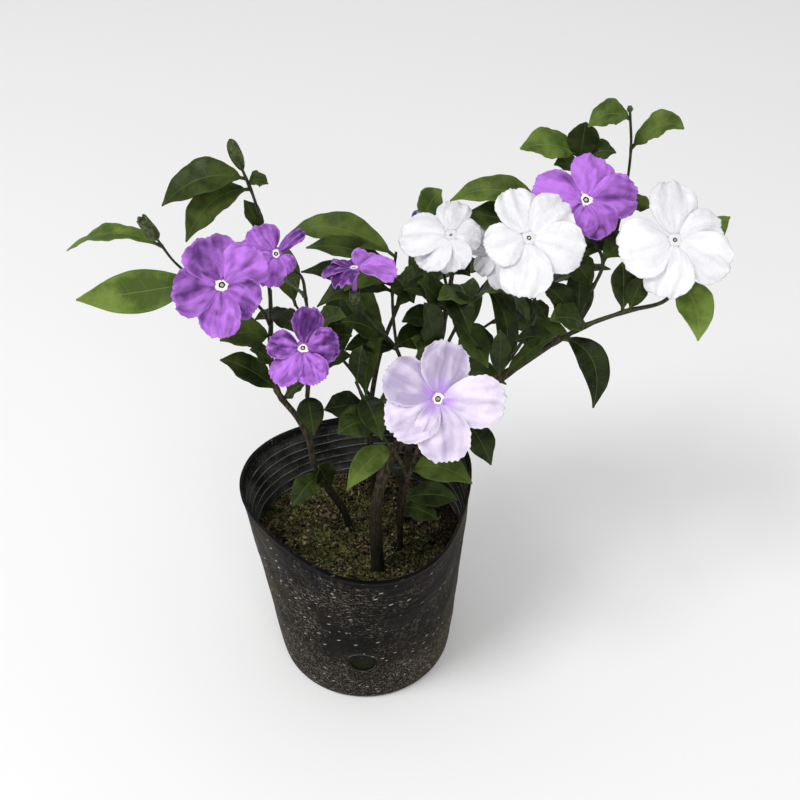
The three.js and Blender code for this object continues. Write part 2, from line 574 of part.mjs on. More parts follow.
function sprayLeaves([twig, count, from, to, length, width, firstTurn], seed) {
  const random = seededRandom(seed);
  const curve = stemCurves.get(twig);
  const leaves = [];
  for (let i = 0; i < count; i++) {
    const share = from + ((to - from) * i) / Math.max(1, count - 1);
    const root = placeOn(twig, share);
    const tangent = curve.getTangentAt(share);
    const side = new THREE.Vector3().crossVectors(tangent, UP).normalize();
    const turn = THREE.MathUtils.degToRad(firstTurn) + i * SPRAY_TURN + random() * 0.6;
    const direction = side
      .multiplyScalar(Math.cos(turn))
      .addScaledVector(UP, 0.35 * Math.sin(turn) - 0.1)
      .addScaledVector(tangent, 0.75)
      .normalize();
    const reach = length * (0.85 + 0.3 * random());
    const tip = root.clone().addScaledVector(direction, reach);
    const face = UP.clone().addScaledVector(direction, 0.15);
    leaves.push([root, tip, width, reach * 0.12, 0, face, random() * 6]);
  }
  return leaves;
}

// A round cup at the end of a twig. The bloom's tube stands in its socket.
function calyxSolid({ foot, facing }) {
  const bottom = foot.clone().addScaledVector(facing, -(CALYX_LENGTH - SOCKET_DEPTH));
  const socket = TUBE_RADIUS + GAP;
  const floor = CALYX_LENGTH - SOCKET_DEPTH - GAP;
  const profile = [[0, 0], [0, CALYX_FOOT], [2.2, CALYX_RADIUS], [CALYX_LENGTH, CALYX_RADIUS]];
  profile.push([CALYX_LENGTH, socket], [floor, socket], [floor, 0]);
  return revolved(bottom, facing, profile, CUP_SIDES);
}

// A body of revolution about an axis. Entries are [distance along the axis, radius].
function revolved(origin, axis, profile, sides) {
  const reference = Math.abs(axis.x) < 0.7 ? new THREE.Vector3(1, 0, 0) : new THREE.Vector3(0, 1, 0);
  const side = reference.addScaledVector(axis, -reference.dot(axis)).normalize();
  const other = new THREE.Vector3().crossVectors(axis, side);
  return ringed(profile, sides, ([along, radius], angle) =>
    origin
      .clone()
      .addScaledVector(axis, along)
      .addScaledVector(side, radius * Math.cos(angle))
      .addScaledVector(other, radius * Math.sin(angle)),
  );
}

const PETAL_COUNT = 5;
const PETAL_ROWS = [0, 0.34, 0.72, 1];
const PETAL_COLUMNS = 4;
const PETAL_ROOT = 2.6; // from the bloom's axis
const PETAL_CLAW = 1.2; // half the width of a petal's root
const PETAL_WIDEST = 0.6; // share of the length
const PETAL_END = 1.22; // the end rounds as if the petal went on this much past its widest
const PETAL_CORNER = 0.12; // how far the end's corners fall back, as a share of the length
const PETAL_RUFFLE = 1.2;
const PETAL_RUFFLES = 1.3; // from edge to edge, twice over
const PETAL_LAP = 1.8; // one edge lies this far above the bloom's plane and the other below it
const PETAL_RISE = 1.6;
const PETAL_DROOP = 2;

// Half the width of a petal at share s of its length: a claw that soon spreads to a broad blade
// with a blunt round end.
function petalHalfWidth(widest, s) {
  const spread = Math.sin((Math.PI / 2) * Math.min(1, s / PETAL_WIDEST)) ** 0.65;
  const past = Math.max(0, s - PETAL_WIDEST) / (PETAL_END * (1 - PETAL_WIDEST));
  return PETAL_CLAW + (widest / 2 - PETAL_CLAW) * spread * (1 - past ** 2.4) ** 0.45;
}

function petalSolid({ eye, facing }, [tipX, tipY, breadth], phase) {
  const line = sightLine(tipX, tipY);
  const reach = eye.clone().sub(EYE).dot(facing) / line.dot(facing);
  const tip = EYE.clone().addScaledVector(line, reach);
  const outward = tip.sub(eye);
  const length = outward.length();
  outward.normalize();
  const lateral = new THREE.Vector3().crossVectors(facing, outward);
  const grid = [];
  for (const s of PETAL_ROWS) {
    const row = [];
    for (let j = 0; j < PETAL_COLUMNS; j++) {
      const c = (2 * j) / (PETAL_COLUMNS - 1) - 1;
      const along = PETAL_ROOT + (length - PETAL_ROOT) * s * (1 - PETAL_CORNER * c * c * s);
      const sideways = petalHalfWidth(breadth * length, s) * c;
      const ruffle = PETAL_RUFFLE * s * s * Math.sin(phase + 2 * Math.PI * PETAL_RUFFLES * c);
      const lap = PETAL_LAP * c * Math.min(1, 1.6 * s);
      const droop = PETAL_RISE * Math.sin(Math.PI * s) - PETAL_DROOP * s * s;
      row.push(
        eye
          .clone()
          .addScaledVector(outward, along)
          .addScaledVector(lateral, sideways)
          .addScaledVector(facing, ruffle + lap + droop),
      );
    }
    grid.push(row);
  }
  return blade(grid, PETAL_THICKNESS);
}

function bloomSolid(entry, seed) {
  const frame = bloomFrame(entry);
  const mouth = TUBE_LENGTH + 0.7;
  const profile = [[0, 0], [0, TUBE_RADIUS], [TUBE_LENGTH * 0.75, TUBE_RADIUS]];
  profile.push([TUBE_LENGTH - 1.2, THROAT_RADIUS], [mouth, THROAT_RADIUS], [mouth, 0]);
  const tube = revolved(frame.foot, frame.facing, profile, PETAL_COUNT);
  const petals = entry[5].map((petal, i) => petalSolid(frame, petal, seed + i * 1.9));
  return union([tube, ...petals]);
}

// Entries are [distance from the base, radius]. An open one has lost its flower.
function budSolid(base, direction, length, radius, open) {
  const profile = [[0, 0], [-0.6, 0.7], [0.25 * length, radius], [0.6 * length, radius * 0.9]];
  profile.push(open ? [length, radius * 0.8] : [length, 0.3], [open ? length - 1.2 : length, 0]);
  return revolved(base, direction, profile, CUP_SIDES);
}

function stemEndBuds() {
  const tipOf = (name) => stemCurves.get(name).getPointAt(1);
  const wayOf = (name) => stemCurves.get(name).getTangentAt(1);
  return [
    ["left", budSolid(tipOf("lift"), wayOf("lift"), 18, 3.2, false)],
    ["left", budSolid(tipOf("reach"), wayOf("reach"), 14, 3.4, true)],
    ["right", budSolid(tipOf("shoot"), wayOf("shoot"), 4, 1.4, false)],
    ["back", budSolid(tipOf("peak"), wayOf("peak"), 7, 3.2, false)],
  ];
}

// A hole as wide as a bloom's tube with its clearance, from the calyx floor out to the petals.
function tubeRoom({ foot, facing }) {
  const radius = TUBE_RADIUS + GAP;
  const profile = [[-GAP, 0], [-GAP, radius], [ROOM_LENGTH, radius], [ROOM_LENGTH, 0]];
  return revolved(foot.clone(), facing, profile, CUP_SIDES);
}

function leafyStem(stem) {
  const twigs = TWIGS.filter((twig) => twig[1] === stem);
  const names = twigs.map((twig) => twig[0]);
  const pieces = twigs.map(twigSolid);
  LEAVES.forEach(([twig, fromX, fromY, tipX, tipY, tipDepth, width, arch, bow, turned], i) => {
    if (!names.includes(twig)) return;
    const root = nearestOn(twig, fromX, fromY);
    const face = UP.clone().lerp(EYE_BACK, turned);
    pieces.push(leafSolid(root, seen(tipX, tipY, tipDepth), width, arch, bow, face, i));
  });
  SPRAYS.forEach((spray, i) => {
    if (!names.includes(spray[0])) return;
    sprayLeaves(spray, FIRST_SEED + i).forEach((leaf) => pieces.push(leafSolid(...leaf)));
  });
  const frames = BLOOMS.filter((bloom) => names.includes(bloom[2])).map(bloomFrame);
  frames.forEach((frame) => pieces.push(calyxSolid(frame)));
  stemEndBuds().forEach(([owner, bud]) => owner === stem && pieces.push(bud));
  return frames.reduce((joined, frame) => joined.subtract(tubeRoom(frame)), union(pieces));
}

function rootSockets() {
  return TWIGS.filter((twig) => twig[2] === "soil").map(([name, , , , thick]) => {
    const bottom = stemCurves.get(name).getPointAt(0);
    const top = bottom.clone().setZ(SOIL_LEVEL + 2 * COLLAR_HEIGHT);
    const radius = thick + GAP + SOCKET_CLEAR;
    bottom.z -= GAP;
    const hole = [[0, 0], [0, radius], [1, radius], [1, 0]];
    return alongCurve(new THREE.LineCurve3(bottom, top), hole, 10);
  });
}

function meshOf(name, solid, colour, roughness) {
  const { numProp, vertProperties, triVerts } = solid.getMesh();
  const positions = new Float32Array((vertProperties.length / numProp) * 3);
  for (let i = 0; i < positions.length / 3; i++) {
    positions.set(vertProperties.subarray(i * numProp, i * numProp + 3), i * 3);
  }
  const geometry = new THREE.BufferGeometry();
  geometry.setAttribute("position", new THREE.BufferAttribute(positions, 3));
  geometry.setIndex(new THREE.BufferAttribute(triVerts, 1));
  geometry.computeVertexNormals();
  const mesh = new THREE.Mesh(geometry, new THREE.MeshStandardMaterial({ color: colour, roughness }));
  mesh.name = name;
  return mesh;
}

buildCurves();
const group = new THREE.Group();
group.name = "potted_shrub";
group.add(meshOf("pot", potSolid(), 0x232022, 0.55));
group.add(meshOf("soil", soilSolid(rootSockets()), 0x43371f, 0.95));
for (const stem of ["left", "front", "right", "back", "rear"]) {
  group.add(meshOf(`leafy_stem_${stem}`, leafyStem(stem), 0x3d5c26, 0.5));
}
BLOOMS.forEach((entry, i) => {
  group.add(meshOf(entry[0], bloomSolid(entry, i), PETAL_COLOURS[entry[1]], 0.6));
});

export default group;
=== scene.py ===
import math

import bmesh
import bpy
import numpy as np
from mathutils import Matrix, Vector


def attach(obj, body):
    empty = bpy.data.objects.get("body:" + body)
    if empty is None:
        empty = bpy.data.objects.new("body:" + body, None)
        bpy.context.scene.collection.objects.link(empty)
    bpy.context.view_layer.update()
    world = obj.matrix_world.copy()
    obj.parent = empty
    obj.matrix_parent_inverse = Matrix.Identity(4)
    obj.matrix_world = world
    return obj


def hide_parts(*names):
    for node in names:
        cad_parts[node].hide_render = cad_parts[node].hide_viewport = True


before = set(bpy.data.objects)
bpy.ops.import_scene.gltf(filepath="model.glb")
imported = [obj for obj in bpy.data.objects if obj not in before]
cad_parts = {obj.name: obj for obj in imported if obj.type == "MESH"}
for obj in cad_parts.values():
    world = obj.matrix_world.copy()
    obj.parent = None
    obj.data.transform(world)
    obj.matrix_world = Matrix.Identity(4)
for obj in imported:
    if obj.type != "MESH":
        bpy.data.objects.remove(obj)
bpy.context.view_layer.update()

METRES = 0.001
UP = np.array([0.0, 0.0, 1.0])
FULL_TURN = 2 * math.pi
CRUMB_SEED, FLAKE_SEED, MOSS_SEED = 11, 23, 37

# Pot
POT_HEIGHT = 130
RIM_RADIUS = 65
BASE_RADIUS = 52.8
WALL = 1.2
FOOT_ROUNDING = 3
LIP_BAND = 5
RING_COUNT = 6
RING_PITCH = 6.2
RING_DEPTH = 0.6
LOWEST_RING = POT_HEIGHT - LIP_BAND - RING_COUNT * RING_PITCH
RIM_SQUEEZE = 0.078
RIM_SQUEEZE_TURN = math.radians(138)
HOLE_COUNT = 4
HOLE_RADIUS = 7.5
HOLE_HEIGHT = 40
DRILL_START = 8  # inside the foot's radius
DRILL_LENGTH = 28
POT_SIDES = 200

# Soil
SOIL_LEVEL = 87
SOIL_RISE_LEFT = 0.055
SOIL_FALL_BACK = 0.06
SOIL_CLEAR = 0.55
SOIL_FLOOR = 1.5
PIT_RADIUS = 52  # crumbs, flakes and moss are tried within this of the axis, along X and along Y
MOSS_REACH = 52
SOIL_SIDES = 180
SOIL_RINGS = 60
ROOTING_DEPTH = 34
COLLAR_HEIGHT = 6
CRUMB_COUNT = 700
FLAKE_COUNT = 260
TUFT_COUNT = 1500
SHOOTS_A_TUFT = 5

# Stems
RINGS_A_LENGTH = 7  # rings of points on each straight length of a twig
KNOT_SWELL = 0.28  # share by which a twig is thicker where a leaf leaves it
KNOT_REACH = 1.6
TWIG_SLIMNESS = 0.85  # share of the solid's thickness that a twig is drawn with
CURVE_SAMPLES = 200

# Leaves, flowers and buds
LEAF_THICKNESS = 0.34
LEAF_KEEL = 0.2
LEAF_ROWS = 30
LEAF_COLUMNS = np.array([1, 0.84, 0.63, 0.4, 0.19, 0.07, 0, -0.07, -0.19, -0.4, -0.63, -0.84, -1])
VEIN_COUNT = 7
EDGE_WAVE = 0.9
EDGE_FRILL = 0.26
QUILTING = 0.13
MIDRIB_GROOVE = 0.3
FIRST_SEED = 101  # of the leaves set by rule
GOLDEN_TURN = 2.4
PETAL_THICKNESS = 0.32
PETAL_ROOT = 2.6
PETAL_CLAW = 1.2
PETAL_WIDEST = 0.6
PETAL_END = 1.22
PETAL_CORNER = 0.12
PETAL_ROWS = 32
PETAL_COLUMNS = 41
PETAL_TWIST = 1.8
PETAL_BELLY = 1.6
PETAL_DROOP = 2
PETAL_FOLDS = 0.75
PETAL_FRILL = 0.7
PETAL_GROOVE = 0.4
PETAL_TURN = 1.9  # each petal's folds differ from the last one's by this phase
TUBE_LENGTH = 17
TUBE_RADIUS = 1.25
THROAT_RADIUS = 3
CALYX_LENGTH = 8
CALYX_TEETH = 5
SOCKET_DEPTH = 5
STRAIGHT_END = 5  # a twig runs straight for this far into its calyx

# The camera that the photograph was taken with
PICTURE_CENTRE = 400
FOCAL_PIXELS = 1111
EYE_DISTANCE = 584
EYE_ELEVATION = math.radians(41.6)
LOOKED_AT = np.array([21.6, 0.0, 195.2])
EYE_BACK = np.array([0.0, -math.cos(EYE_ELEVATION), math.sin(EYE_ELEVATION)])
EYE_RIGHT = np.array([1.0, 0.0, 0.0])
EYE_UP = np.cross(EYE_BACK, EYE_RIGHT)
EYE = LOOKED_AT + EYE_BACK * EYE_DISTANCE


def unit(vector):
    length = np.linalg.norm(vector, axis=-1, keepdims=True)
    return vector / np.maximum(length, 1e-9)


def smooth_step(low, high, value):
    share = np.clip((value - low) / (high - low), 0, 1)
    return share * share * (3 - 2 * share)


def angles_round(sides):
    return np.arange(sides) * FULL_TURN / sides


def sight_line(px, py):
    across = EYE_RIGHT * (px - PICTURE_CENTRE)
    return across + EYE_UP * (PICTURE_CENTRE - py) - EYE_BACK * FOCAL_PIXELS


def seen(px, py, level, axis=1):
    """The point that a pixel shows at a depth along Y, or at a height where the axis is 2."""
    line = sight_line(px, py)
    return EYE + line * ((level - EYE[axis]) / line[axis])


def pixel_of(point):
    offset = point - EYE
    scale = FOCAL_PIXELS / -(offset @ EYE_BACK)
    return PICTURE_CENTRE + scale * (offset @ EYE_RIGHT), PICTURE_CENTRE - scale * (offset @ EYE_UP)


# A place that the photograph shows has two coordinates in its 800 by 800 pixels and a depth along Y
# in mm. The first place of a stem in the soil has no depth: it lies on the soil.

# Twigs. Each entry: name, leafy stem, what it grows from and where on that (share of its length),
# radius at the start and at the end, then the places seen along it.
TWIGS = [
  ["trunk", "right", "soil", 0, 4.2, 1.6,
    [[378, 570], [376, 510, -24], [386, 468, -20], [408, 430, -9], [445, 404, -1], [490, 387, 3],
      [530, 357, 4], [562, 337, 3]]],
  ["arm", "right", "trunk", 0.97, 1.5, 1.0, [[596, 321, 2], [640, 307, 4], [687, 288, 9]]],
  ["spur", "right", "arm", 0.12, 1.15, 1.0, [[590, 292, 12], [603, 262, 22]]],
  ["shoot", "right", "spur", 0.45, 1.0, 0.75,
    [[618, 228, 48], [628, 175, 60], [631, 148, 56], [630, 112, 48]]],
  ["crest", "right", "spur", 0.6, 1.0, 0.8, [[594, 215, 64], [577, 155, 68]]],
  ["post", "right", "trunk", 0.78, 1.2, 1.0, [[532, 325, 12], [534, 290, 24]]],
  ["perch", "right", "post", 0.6, 1.0, 0.8, [[546, 262, 38], [548, 212, 52]]],
  ["leg", "left", "soil", 0, 2.3, 1.1,
    [[348, 527], [335, 497, 4], [315, 467, -2], [308, 437, -6], [299, 420, -8], [289, 405, -9],
      [277, 390, -8], [271, 355, -2], [271, 325, 16], [270, 290, 38]]],
  ["lift", "left", "leg", 0.97, 1.1, 0.85,
    [[264, 240, 50], [254, 198, 48], [248, 184, 47], [242, 169, 46]]],
  ["elbow", "left", "leg", 0.88, 1.1, 0.95, [[254, 300, 24]]],
  ["reach", "left", "elbow", 0.45, 0.95, 0.7,
    [[215, 287, 28], [184, 272, 24], [166, 250, 21], [157, 239, 20]]],
  ["low", "left", "leg", 0.5, 1.3, 1.0, [[307, 392, -7]]],
  ["mast", "left", "low", 0.4, 1.1, 0.95, [[310, 350, 2], [306, 305, 18], [303, 276, 36]]],
  ["fore", "front", "soil", 0, 2.0, 1.1, [[400, 548], [402, 500, -14], [412, 465, -18], [425, 432, -22]]],
  ["side", "front", "fore", 0.55, 1.3, 0.85, [[392, 447, -27], [370, 417, -24], [356, 382, -18]]],
  ["slant", "front", "fore", 0.7, 1.1, 0.85, [[440, 442, -14], [468, 424, -8]]],
  ["stake", "back", "soil", 0, 2.6, 1.1,
    [[400, 520], [405, 470, 12], [415, 420, 17], [432, 372, 25], [445, 320, 34], [452, 275, 46]]],
  ["fork", "back", "stake", 0.62, 1.25, 1.0, [[466, 310, 44], [486, 284, 54]]],
  ["swing", "back", "stake", 0.45, 1.3, 1.0, [[398, 352, 22], [374, 326, 12]]],
  ["lean", "back", "swing", 0.5, 1.05, 0.8, [[392, 300, 40], [396, 252, 46]]],
  ["peak", "back", "stake", 0.86, 1.05, 0.8, [[438, 255, 64], [421, 222, 72]]],
  ["hind", "rear", "soil", 0, 2.2, 1.0,
    [[374, 496], [370, 440, 36], [374, 380, 52], [388, 330, 66], [404, 292, 80]]],
  ["hind_right", "rear", "hind", 0.5, 1.3, 0.85, [[430, 368, 58], [480, 330, 70], [525, 300, 78]]],
  ["hind_left", "rear", "hind", 0.6, 1.3, 0.85, [[348, 366, 58], [318, 335, 64], [296, 306, 66]]],
]

# Leaves. Each entry: twig, where the leaf leaves it (pixels), the place of its tip, width, rise of its
# arch, bow to the right, how far its face turns from the sky (0) towards the camera (1), and how bright
# it is painted: painted shade on leaves deep in the crown and low down, painted light on those that
# face the lamps, with some of the darker colour of older leaves.
LEAVES = [
  ["lift", 244, 179, 162, 206, 40, 21, 8, 0, 0.5, 0.22],
  ["lift", 250, 190, 186, 242, 34, 19, 8, -2, 0.5, 0.28],
  ["lift", 249, 186, 268, 184, 50, 9, 3, 0, 0.5, 0.35],
  ["lift", 264, 235, 244, 200, 56, 9, 2, 0, 0.3, 0.2],
  ["reach", 164, 247, 67, 251, 30, 13, 9, 0, 0.1, 0.8],
  ["reach", 200, 280, 76, 300, 12, 22, -1, 0, 1, 0.85],
  ["leg", 272, 335, 220, 341, -4, 17, 4, 0, 0.7, 0.5],
  ["leg", 271, 312, 302, 336, 0, 12, 3, 0, 0.5, 0.1],
  ["leg", 278, 392, 220, 360, -14, 15, 4, 0, 0.5, 0.1],
  ["leg", 271, 364, 250, 350, -8, 10, 3, 0, 0.5, 0.2],
  ["leg", 283, 397, 307, 383, -16, 10, 2, 0, 0.5, 0.1],
  ["leg", 322, 478, 292, 507, -18, 14, 4, 0, 0.6, 0.12],
  ["leg", 330, 488, 318, 466, -6, 14, 3, 0, 0.6, 0.1],
  ["mast", 304, 300, 283, 281, 4, 11, 2, 0, 0.5, 0.35],
  ["mast", 309, 335, 346, 317, -8, 14, 4, 0, 0.5, 0.2],
  ["mast", 309, 350, 352, 336, -4, 14, 4, 0, 0.5, 0.1],
  ["mast", 308, 372, 352, 356, -12, 12, 3, 0, 0.5, 0.1],
  ["low", 306, 396, 314, 436, -18, 14, 4, 0, 0.6, 0.05],
  ["side", 392, 447, 347, 490, -54, 14, 6, 0, 0.7, 0.55],
  ["side", 374, 423, 338, 434, -38, 18, 4, 0, 0.7, 0.15],
  ["side", 364, 406, 324, 410, -26, 15, 1, 0, 0.5, 0.05],
  ["side", 360, 395, 382, 440, -36, 14, 4, 0, 0.6, 0.1],
  ["side", 356, 384, 362, 346, -22, 10, 3, 0, 0.5, 0.1],
  ["slant", 466, 426, 502, 413, -14, 14, 3, 0, 0.5, 0.05],
  ["slant", 468, 425, 491, 465, -22, 15, 4, 0, 0.6, 0.1],
  ["fore", 409, 468, 472, 484, -42, 17, 7, 0, 0.6, 0.38],
  ["fore", 402, 498, 458, 500, -12, 15, 4, 0, 0.5, 0.1],
  ["fore", 401, 508, 438, 520, -20, 13, 3, 0, 0.5, 0.1],
  ["stake", 430, 374, 412, 338, 12, 14, 4, 0, 0.6, 0.35],
  ["fork", 455, 325, 488, 368, 30, 16, 5, 0, 0.6, 0.3],
  ["trunk", 500, 382, 500, 330, -4, 11, 3, 0, 0.6, 0.1],
  ["lean", 395, 256, 291, 232, 54, 19, 9, 0, 0.5, 0.43],
  ["lean", 394, 270, 306, 248, 32, 14, 6, 0, 0.5, 0.2],
  ["lean", 393, 285, 301, 272, 44, 13, 4, 0, 0.5, 0.15],
  ["lean", 393, 292, 317, 307, 24, 14, 9, 0, 0.5, 0.15],
  ["swing", 390, 340, 342, 322, 14, 15, 4, 0, 0.5, 0.15],
  ["swing", 396, 350, 345, 350, 6, 14, 4, 0, 0.5, 0.1],
  ["peak", 418, 215, 442, 190, 76, 15, 3, 0, 0.5, 0.5],
  ["perch", 548, 214, 450, 201, 62, 17, 10, 0, 0.5, 0.65],
  ["perch", 547, 240, 464, 214, 62, 20, 4, 0, 0.6, 0.25],
  ["fork", 470, 302, 438, 300, 26, 15, 4, 0, 0.5, 0.5],
  ["fork", 476, 296, 504, 292, 30, 14, 4, 0, 0.5, 0.4],
  ["post", 532, 322, 503, 284, 2, 11, 3, 0, 0.5, 0.2],
  ["post", 533, 300, 547, 322, 8, 8, 2, 0, 0.5, 0.1],
  ["shoot", 630, 120, 588, 127, 50, 15, 5, 0, 0.5, 0.52],
  ["shoot", 631, 150, 684, 129, 44, 16, 7, 0, 0.5, 0.6],
  ["shoot", 622, 210, 652, 207, 56, 11, 3, 0, 0.5, 0.35],
  ["crest", 577, 156, 520, 149, 62, 19, 4, 0, 0.5, 0.65],
  ["crest", 578, 164, 586, 122, 68, 16, 3, 0, 0.5, 0.1],
  ["crest", 579, 166, 616, 153, 66, 13, 4, 0, 0.5, 0.2],
  ["crest", 582, 175, 554, 165, 62, 12, 3, 0, 0.5, 0.4],
  ["arm", 682, 286, 730, 217, 32, 14, 6, 0, 0.5, 0.6],
  ["arm", 688, 286, 698, 341, -16, 18, 4, 3, 1, 1],
  ["arm", 622, 311, 622, 262, 14, 13, 4, 0, 0.5, 0.15],
  ["arm", 628, 310, 644, 278, 4, 11, 3, 0, 0.5, 0.1],
  ["arm", 580, 324, 541, 284, 8, 14, 4, 0, 0.5, 0.1],
  ["spur", 592, 288, 566, 262, 24, 15, 4, 0, 0.5, 0.15],
  ["trunk", 508, 374, 556, 336, -10, 10, 3, 0, 0.5, 0.15],
  ["arm", 586, 324, 550, 320, -8, 17, 3, 0, 0.5, 0.3],
  ["trunk", 560, 338, 593, 408, -24, 15, 7, 7, 0.9, 0.05],
  ["swing", 384, 336, 366, 397, -2, 10, 7, -3, 0.6, 0.25],
  ["stake", 447, 305, 404, 290, 28, 15, 5, 0, 0.5, 0.1],
  ["stake", 442, 330, 402, 322, 22, 15, 5, 0, 0.5, 0.1],
  ["stake", 449, 292, 470, 334, 22, 15, 4, 0, 0.6, 0.1],
  ["lean", 393, 290, 430, 280, 36, 14, 4, 0, 0.5, 0.2],
  ["peak", 436, 258, 408, 274, 54, 14, 5, 0, 0.5, 0.2],
  ["fork", 460, 322, 497, 352, 36, 13, 0, 0, 0.6, 0.1],
  ["fork", 484, 288, 529, 329, 46, 16, 5, 4, 0.6, 0.05],
  ["fork", 486, 286, 496, 376, 22, 12, 2, 9, 0.7, 0.1],
  ["trunk", 556, 341, 515, 341, 10, 11, 3, 0, 0.7, 0.1],
  ["arm", 574, 326, 580, 264, 22, 14, 3, 0, 0.5, 0.1],
  ["shoot", 617, 232, 583, 259, 34, 12, 4, 0, 0.5, 0.5],
  ["lean", 394, 275, 414, 303, 30, 14, 2, 0, 0.6, 0.1],
  ["stake", 437, 350, 424, 303, 12, 16, 3, 0, 0.6, 0.1],
  ["spur", 604, 258, 634, 240, 36, 14, 3, 0, 0.5, 0.2],
  ["lean", 393, 276, 344, 291, 26, 15, 5, 0, 0.5, 0.3],
  ["stake", 440, 335, 394, 348, 10, 17, 4, 0, 0.6, 0.1],
  ["stake", 444, 312, 418, 282, 26, 16, 3, 0, 0.6, 0.15],
  ["peak", 440, 262, 470, 276, 48, 15, 4, 0, 0.5, 0.1],
  ["stake", 434, 360, 462, 392, 10, 15, 3, 0, 0.6, 0.1],
]

# Leaves set by rule. Each entry: twig, number, first and last share of its length, leaf length and width.
SPRAYS = [
  ["stake", 1, 0.46, 0.7, 42, 15],
  ["lean", 1, 0.4, 0.6, 38, 15],
  ["hind", 3, 0.55, 1, 50, 18],
  ["hind_right", 4, 0.4, 1, 50, 18],
  ["hind_left", 3, 0.4, 1, 48, 18],
  ["perch", 1, 0.4, 0.5, 40, 15],
]

# Blooms. Each entry: name, colour, twig, the place of the eye, how far the face leans to the right
# and up, and five petals: where the tip is seen (pixels) and the greatest width as a share of the length.
BLOOMS = [
  ["bloom_purple_left", "purple", "elbow", [222, 285, 5], [-0.1, 0.1],
    [[202, 236, 1.02], [171, 297, 1], [219, 338, 0.84], [257, 307, 1], [261, 252, 0.98]]],
  ["bloom_purple_behind_left", "purple", "mast", [276, 254, 30], [0.1, 0.25],
    [[255, 225, 0.95], [234, 257, 0.9], [270, 286, 0.86], [294, 268, 0.66], [304, 230, 0.34]]],
  ["bloom_purple_edge_on", "purple", "swing", [354, 268, 6], [0, 1.5],
    [[322, 272, 0.9], [336, 259, 0.94], [378, 254, 0.94], [397, 268, 0.94], [340, 283, 0.8]]],
  ["bloom_purple_low", "purple", "low", [303, 348, -28], [0, 0.1],
    [[311, 306, 0.7], [267, 343, 0.84], [275, 383, 0.74], [318, 383, 0.86], [339, 343, 0.98]]],
  ["bloom_purple_top", "purple", "spur", [586, 200, 36], [0.1, 0.15],
    [[598, 155, 0.98], [534, 184, 0.86], [577, 235, 0.92], [608, 235, 0.92], [639, 194, 0.82]]],
  ["bloom_lilac_front", "lilac", "fore", [438, 399, -42], [0, 0],
    [[450, 341, 0.84], [386, 370, 0.86], [389, 431, 0.9], [448, 463, 0.84], [506, 404, 0.8]]],
  ["bloom_white_left", "white", "stake", [451, 235, 42], [-0.2, 0.3],
    [[399, 235, 0.98], [456, 200, 0.9], [481, 236, 1], [455, 270, 1.02], [421, 267, 0.94]]],
  ["bloom_white_middle", "white", "post", [529, 238, 6], [0.1, 0.1],
    [[511, 188, 0.9], [568, 202, 0.92], [585, 254, 0.9], [524, 297, 0.88], [486, 249, 1]]],
  ["bloom_white_behind", "white", "fork", [496, 254, 42], [-0.2, 0.2],
    [[492, 221, 0.94], [470, 236, 0.94], [477, 272, 0.94], [508, 286, 0.94], [526, 246, 0.94]]],
  ["bloom_white_right", "white", "arm", [675, 240, 0], [0.1, 0.1],
    [[672, 180, 0.84], [621, 254, 1.1], [665, 297, 0.84], [731, 269, 0.82], [724, 228, 0.92]]],
]


# Stems


class Curve:
    """A smooth curve through its places, spaced by the root of their distances."""

    def __init__(self, places):
        self.places = [np.array(place, float) for place in places]

    def at(self, share):
        places = self.places
        along = share * (len(places) - 1)
        i = min(int(along), len(places) - 2)
        w = along - i
        p1, p2 = places[i], places[i + 1]
        p0 = places[i - 1] if i > 0 else 2 * p1 - p2
        p3 = places[i + 2] if i + 2 < len(places) else 2 * p2 - p1
        d0, d1, d2 = (math.sqrt(np.linalg.norm(b - a)) for a, b in ((p0, p1), (p1, p2), (p2, p3)))
        leave = ((p1 - p0) / d0 - (p2 - p0) / (d0 + d1) + (p2 - p1) / d1) * d1
        arrive = ((p2 - p1) / d1 - (p3 - p1) / (d1 + d2) + (p3 - p2) / d2) * d1
        square = -3 * p1 + 3 * p2 - 2 * leave - arrive
        cube = 2 * p1 - 2 * p2 + leave + arrive
        return p1 + leave * w + square * w**2 + cube * w**3

    def spaced(self, steps):
        samples = [self.at(i / CURVE_SAMPLES) for i in range(CURVE_SAMPLES + 1)]
        run = np.cumsum([0.0] + [np.linalg.norm(b - a) for a, b in zip(samples, samples[1:])])
        wanted = np.linspace(0, run[-1], steps + 1)
        shares = np.interp(wanted, run, np.linspace(0, 1, CURVE_SAMPLES + 1))
        return [self.at(share) for share in shares]


class Chain:
    """A twig: straight lengths, as the solid has them, and a smooth line through the same points."""

    def __init__(self, places, steps, start):
        self.points = Curve(places).spaced(steps)
        if start is not None:
            self.points.insert(0, start)
        self.length = sum(np.linalg.norm(b - a) for a, b in zip(self.points, self.points[1:]))
        self.smooth = Curve(self.points)

    def straight_at(self, share):
        along = share * (len(self.points) - 1)
        i = min(int(along), len(self.points) - 2)
        return self.points[i] + (self.points[i + 1] - self.points[i]) * (along - i)

    def tangent_at(self, share):
        step = 0.5 / (len(self.points) - 1)
        before = self.straight_at(max(0, share - step))
        return unit(self.straight_at(min(1, share + step)) - before)


def bloom_frame(entry):
    """The eye of a bloom, the way that it faces and the foot of its tube."""
    (px, py, y), (lean_right, lean_up) = entry[3], entry[4]
    eye = seen(px, py, y)
    facing = unit(EYE_BACK + EYE_RIGHT * lean_right + EYE_UP * lean_up)
    return eye, facing, eye - facing * TUBE_LENGTH


chains = {}


def last_share(name):
    """A twig that bears a bloom carries nothing else in its calyx."""
    bears = any(entry[2] == name for entry in BLOOMS)
    return 1 - (CALYX_LENGTH + 1) / chains[name].length if bears else 1


def place_on(name, share):
    return chains[name].straight_at(min(share, last_share(name)))


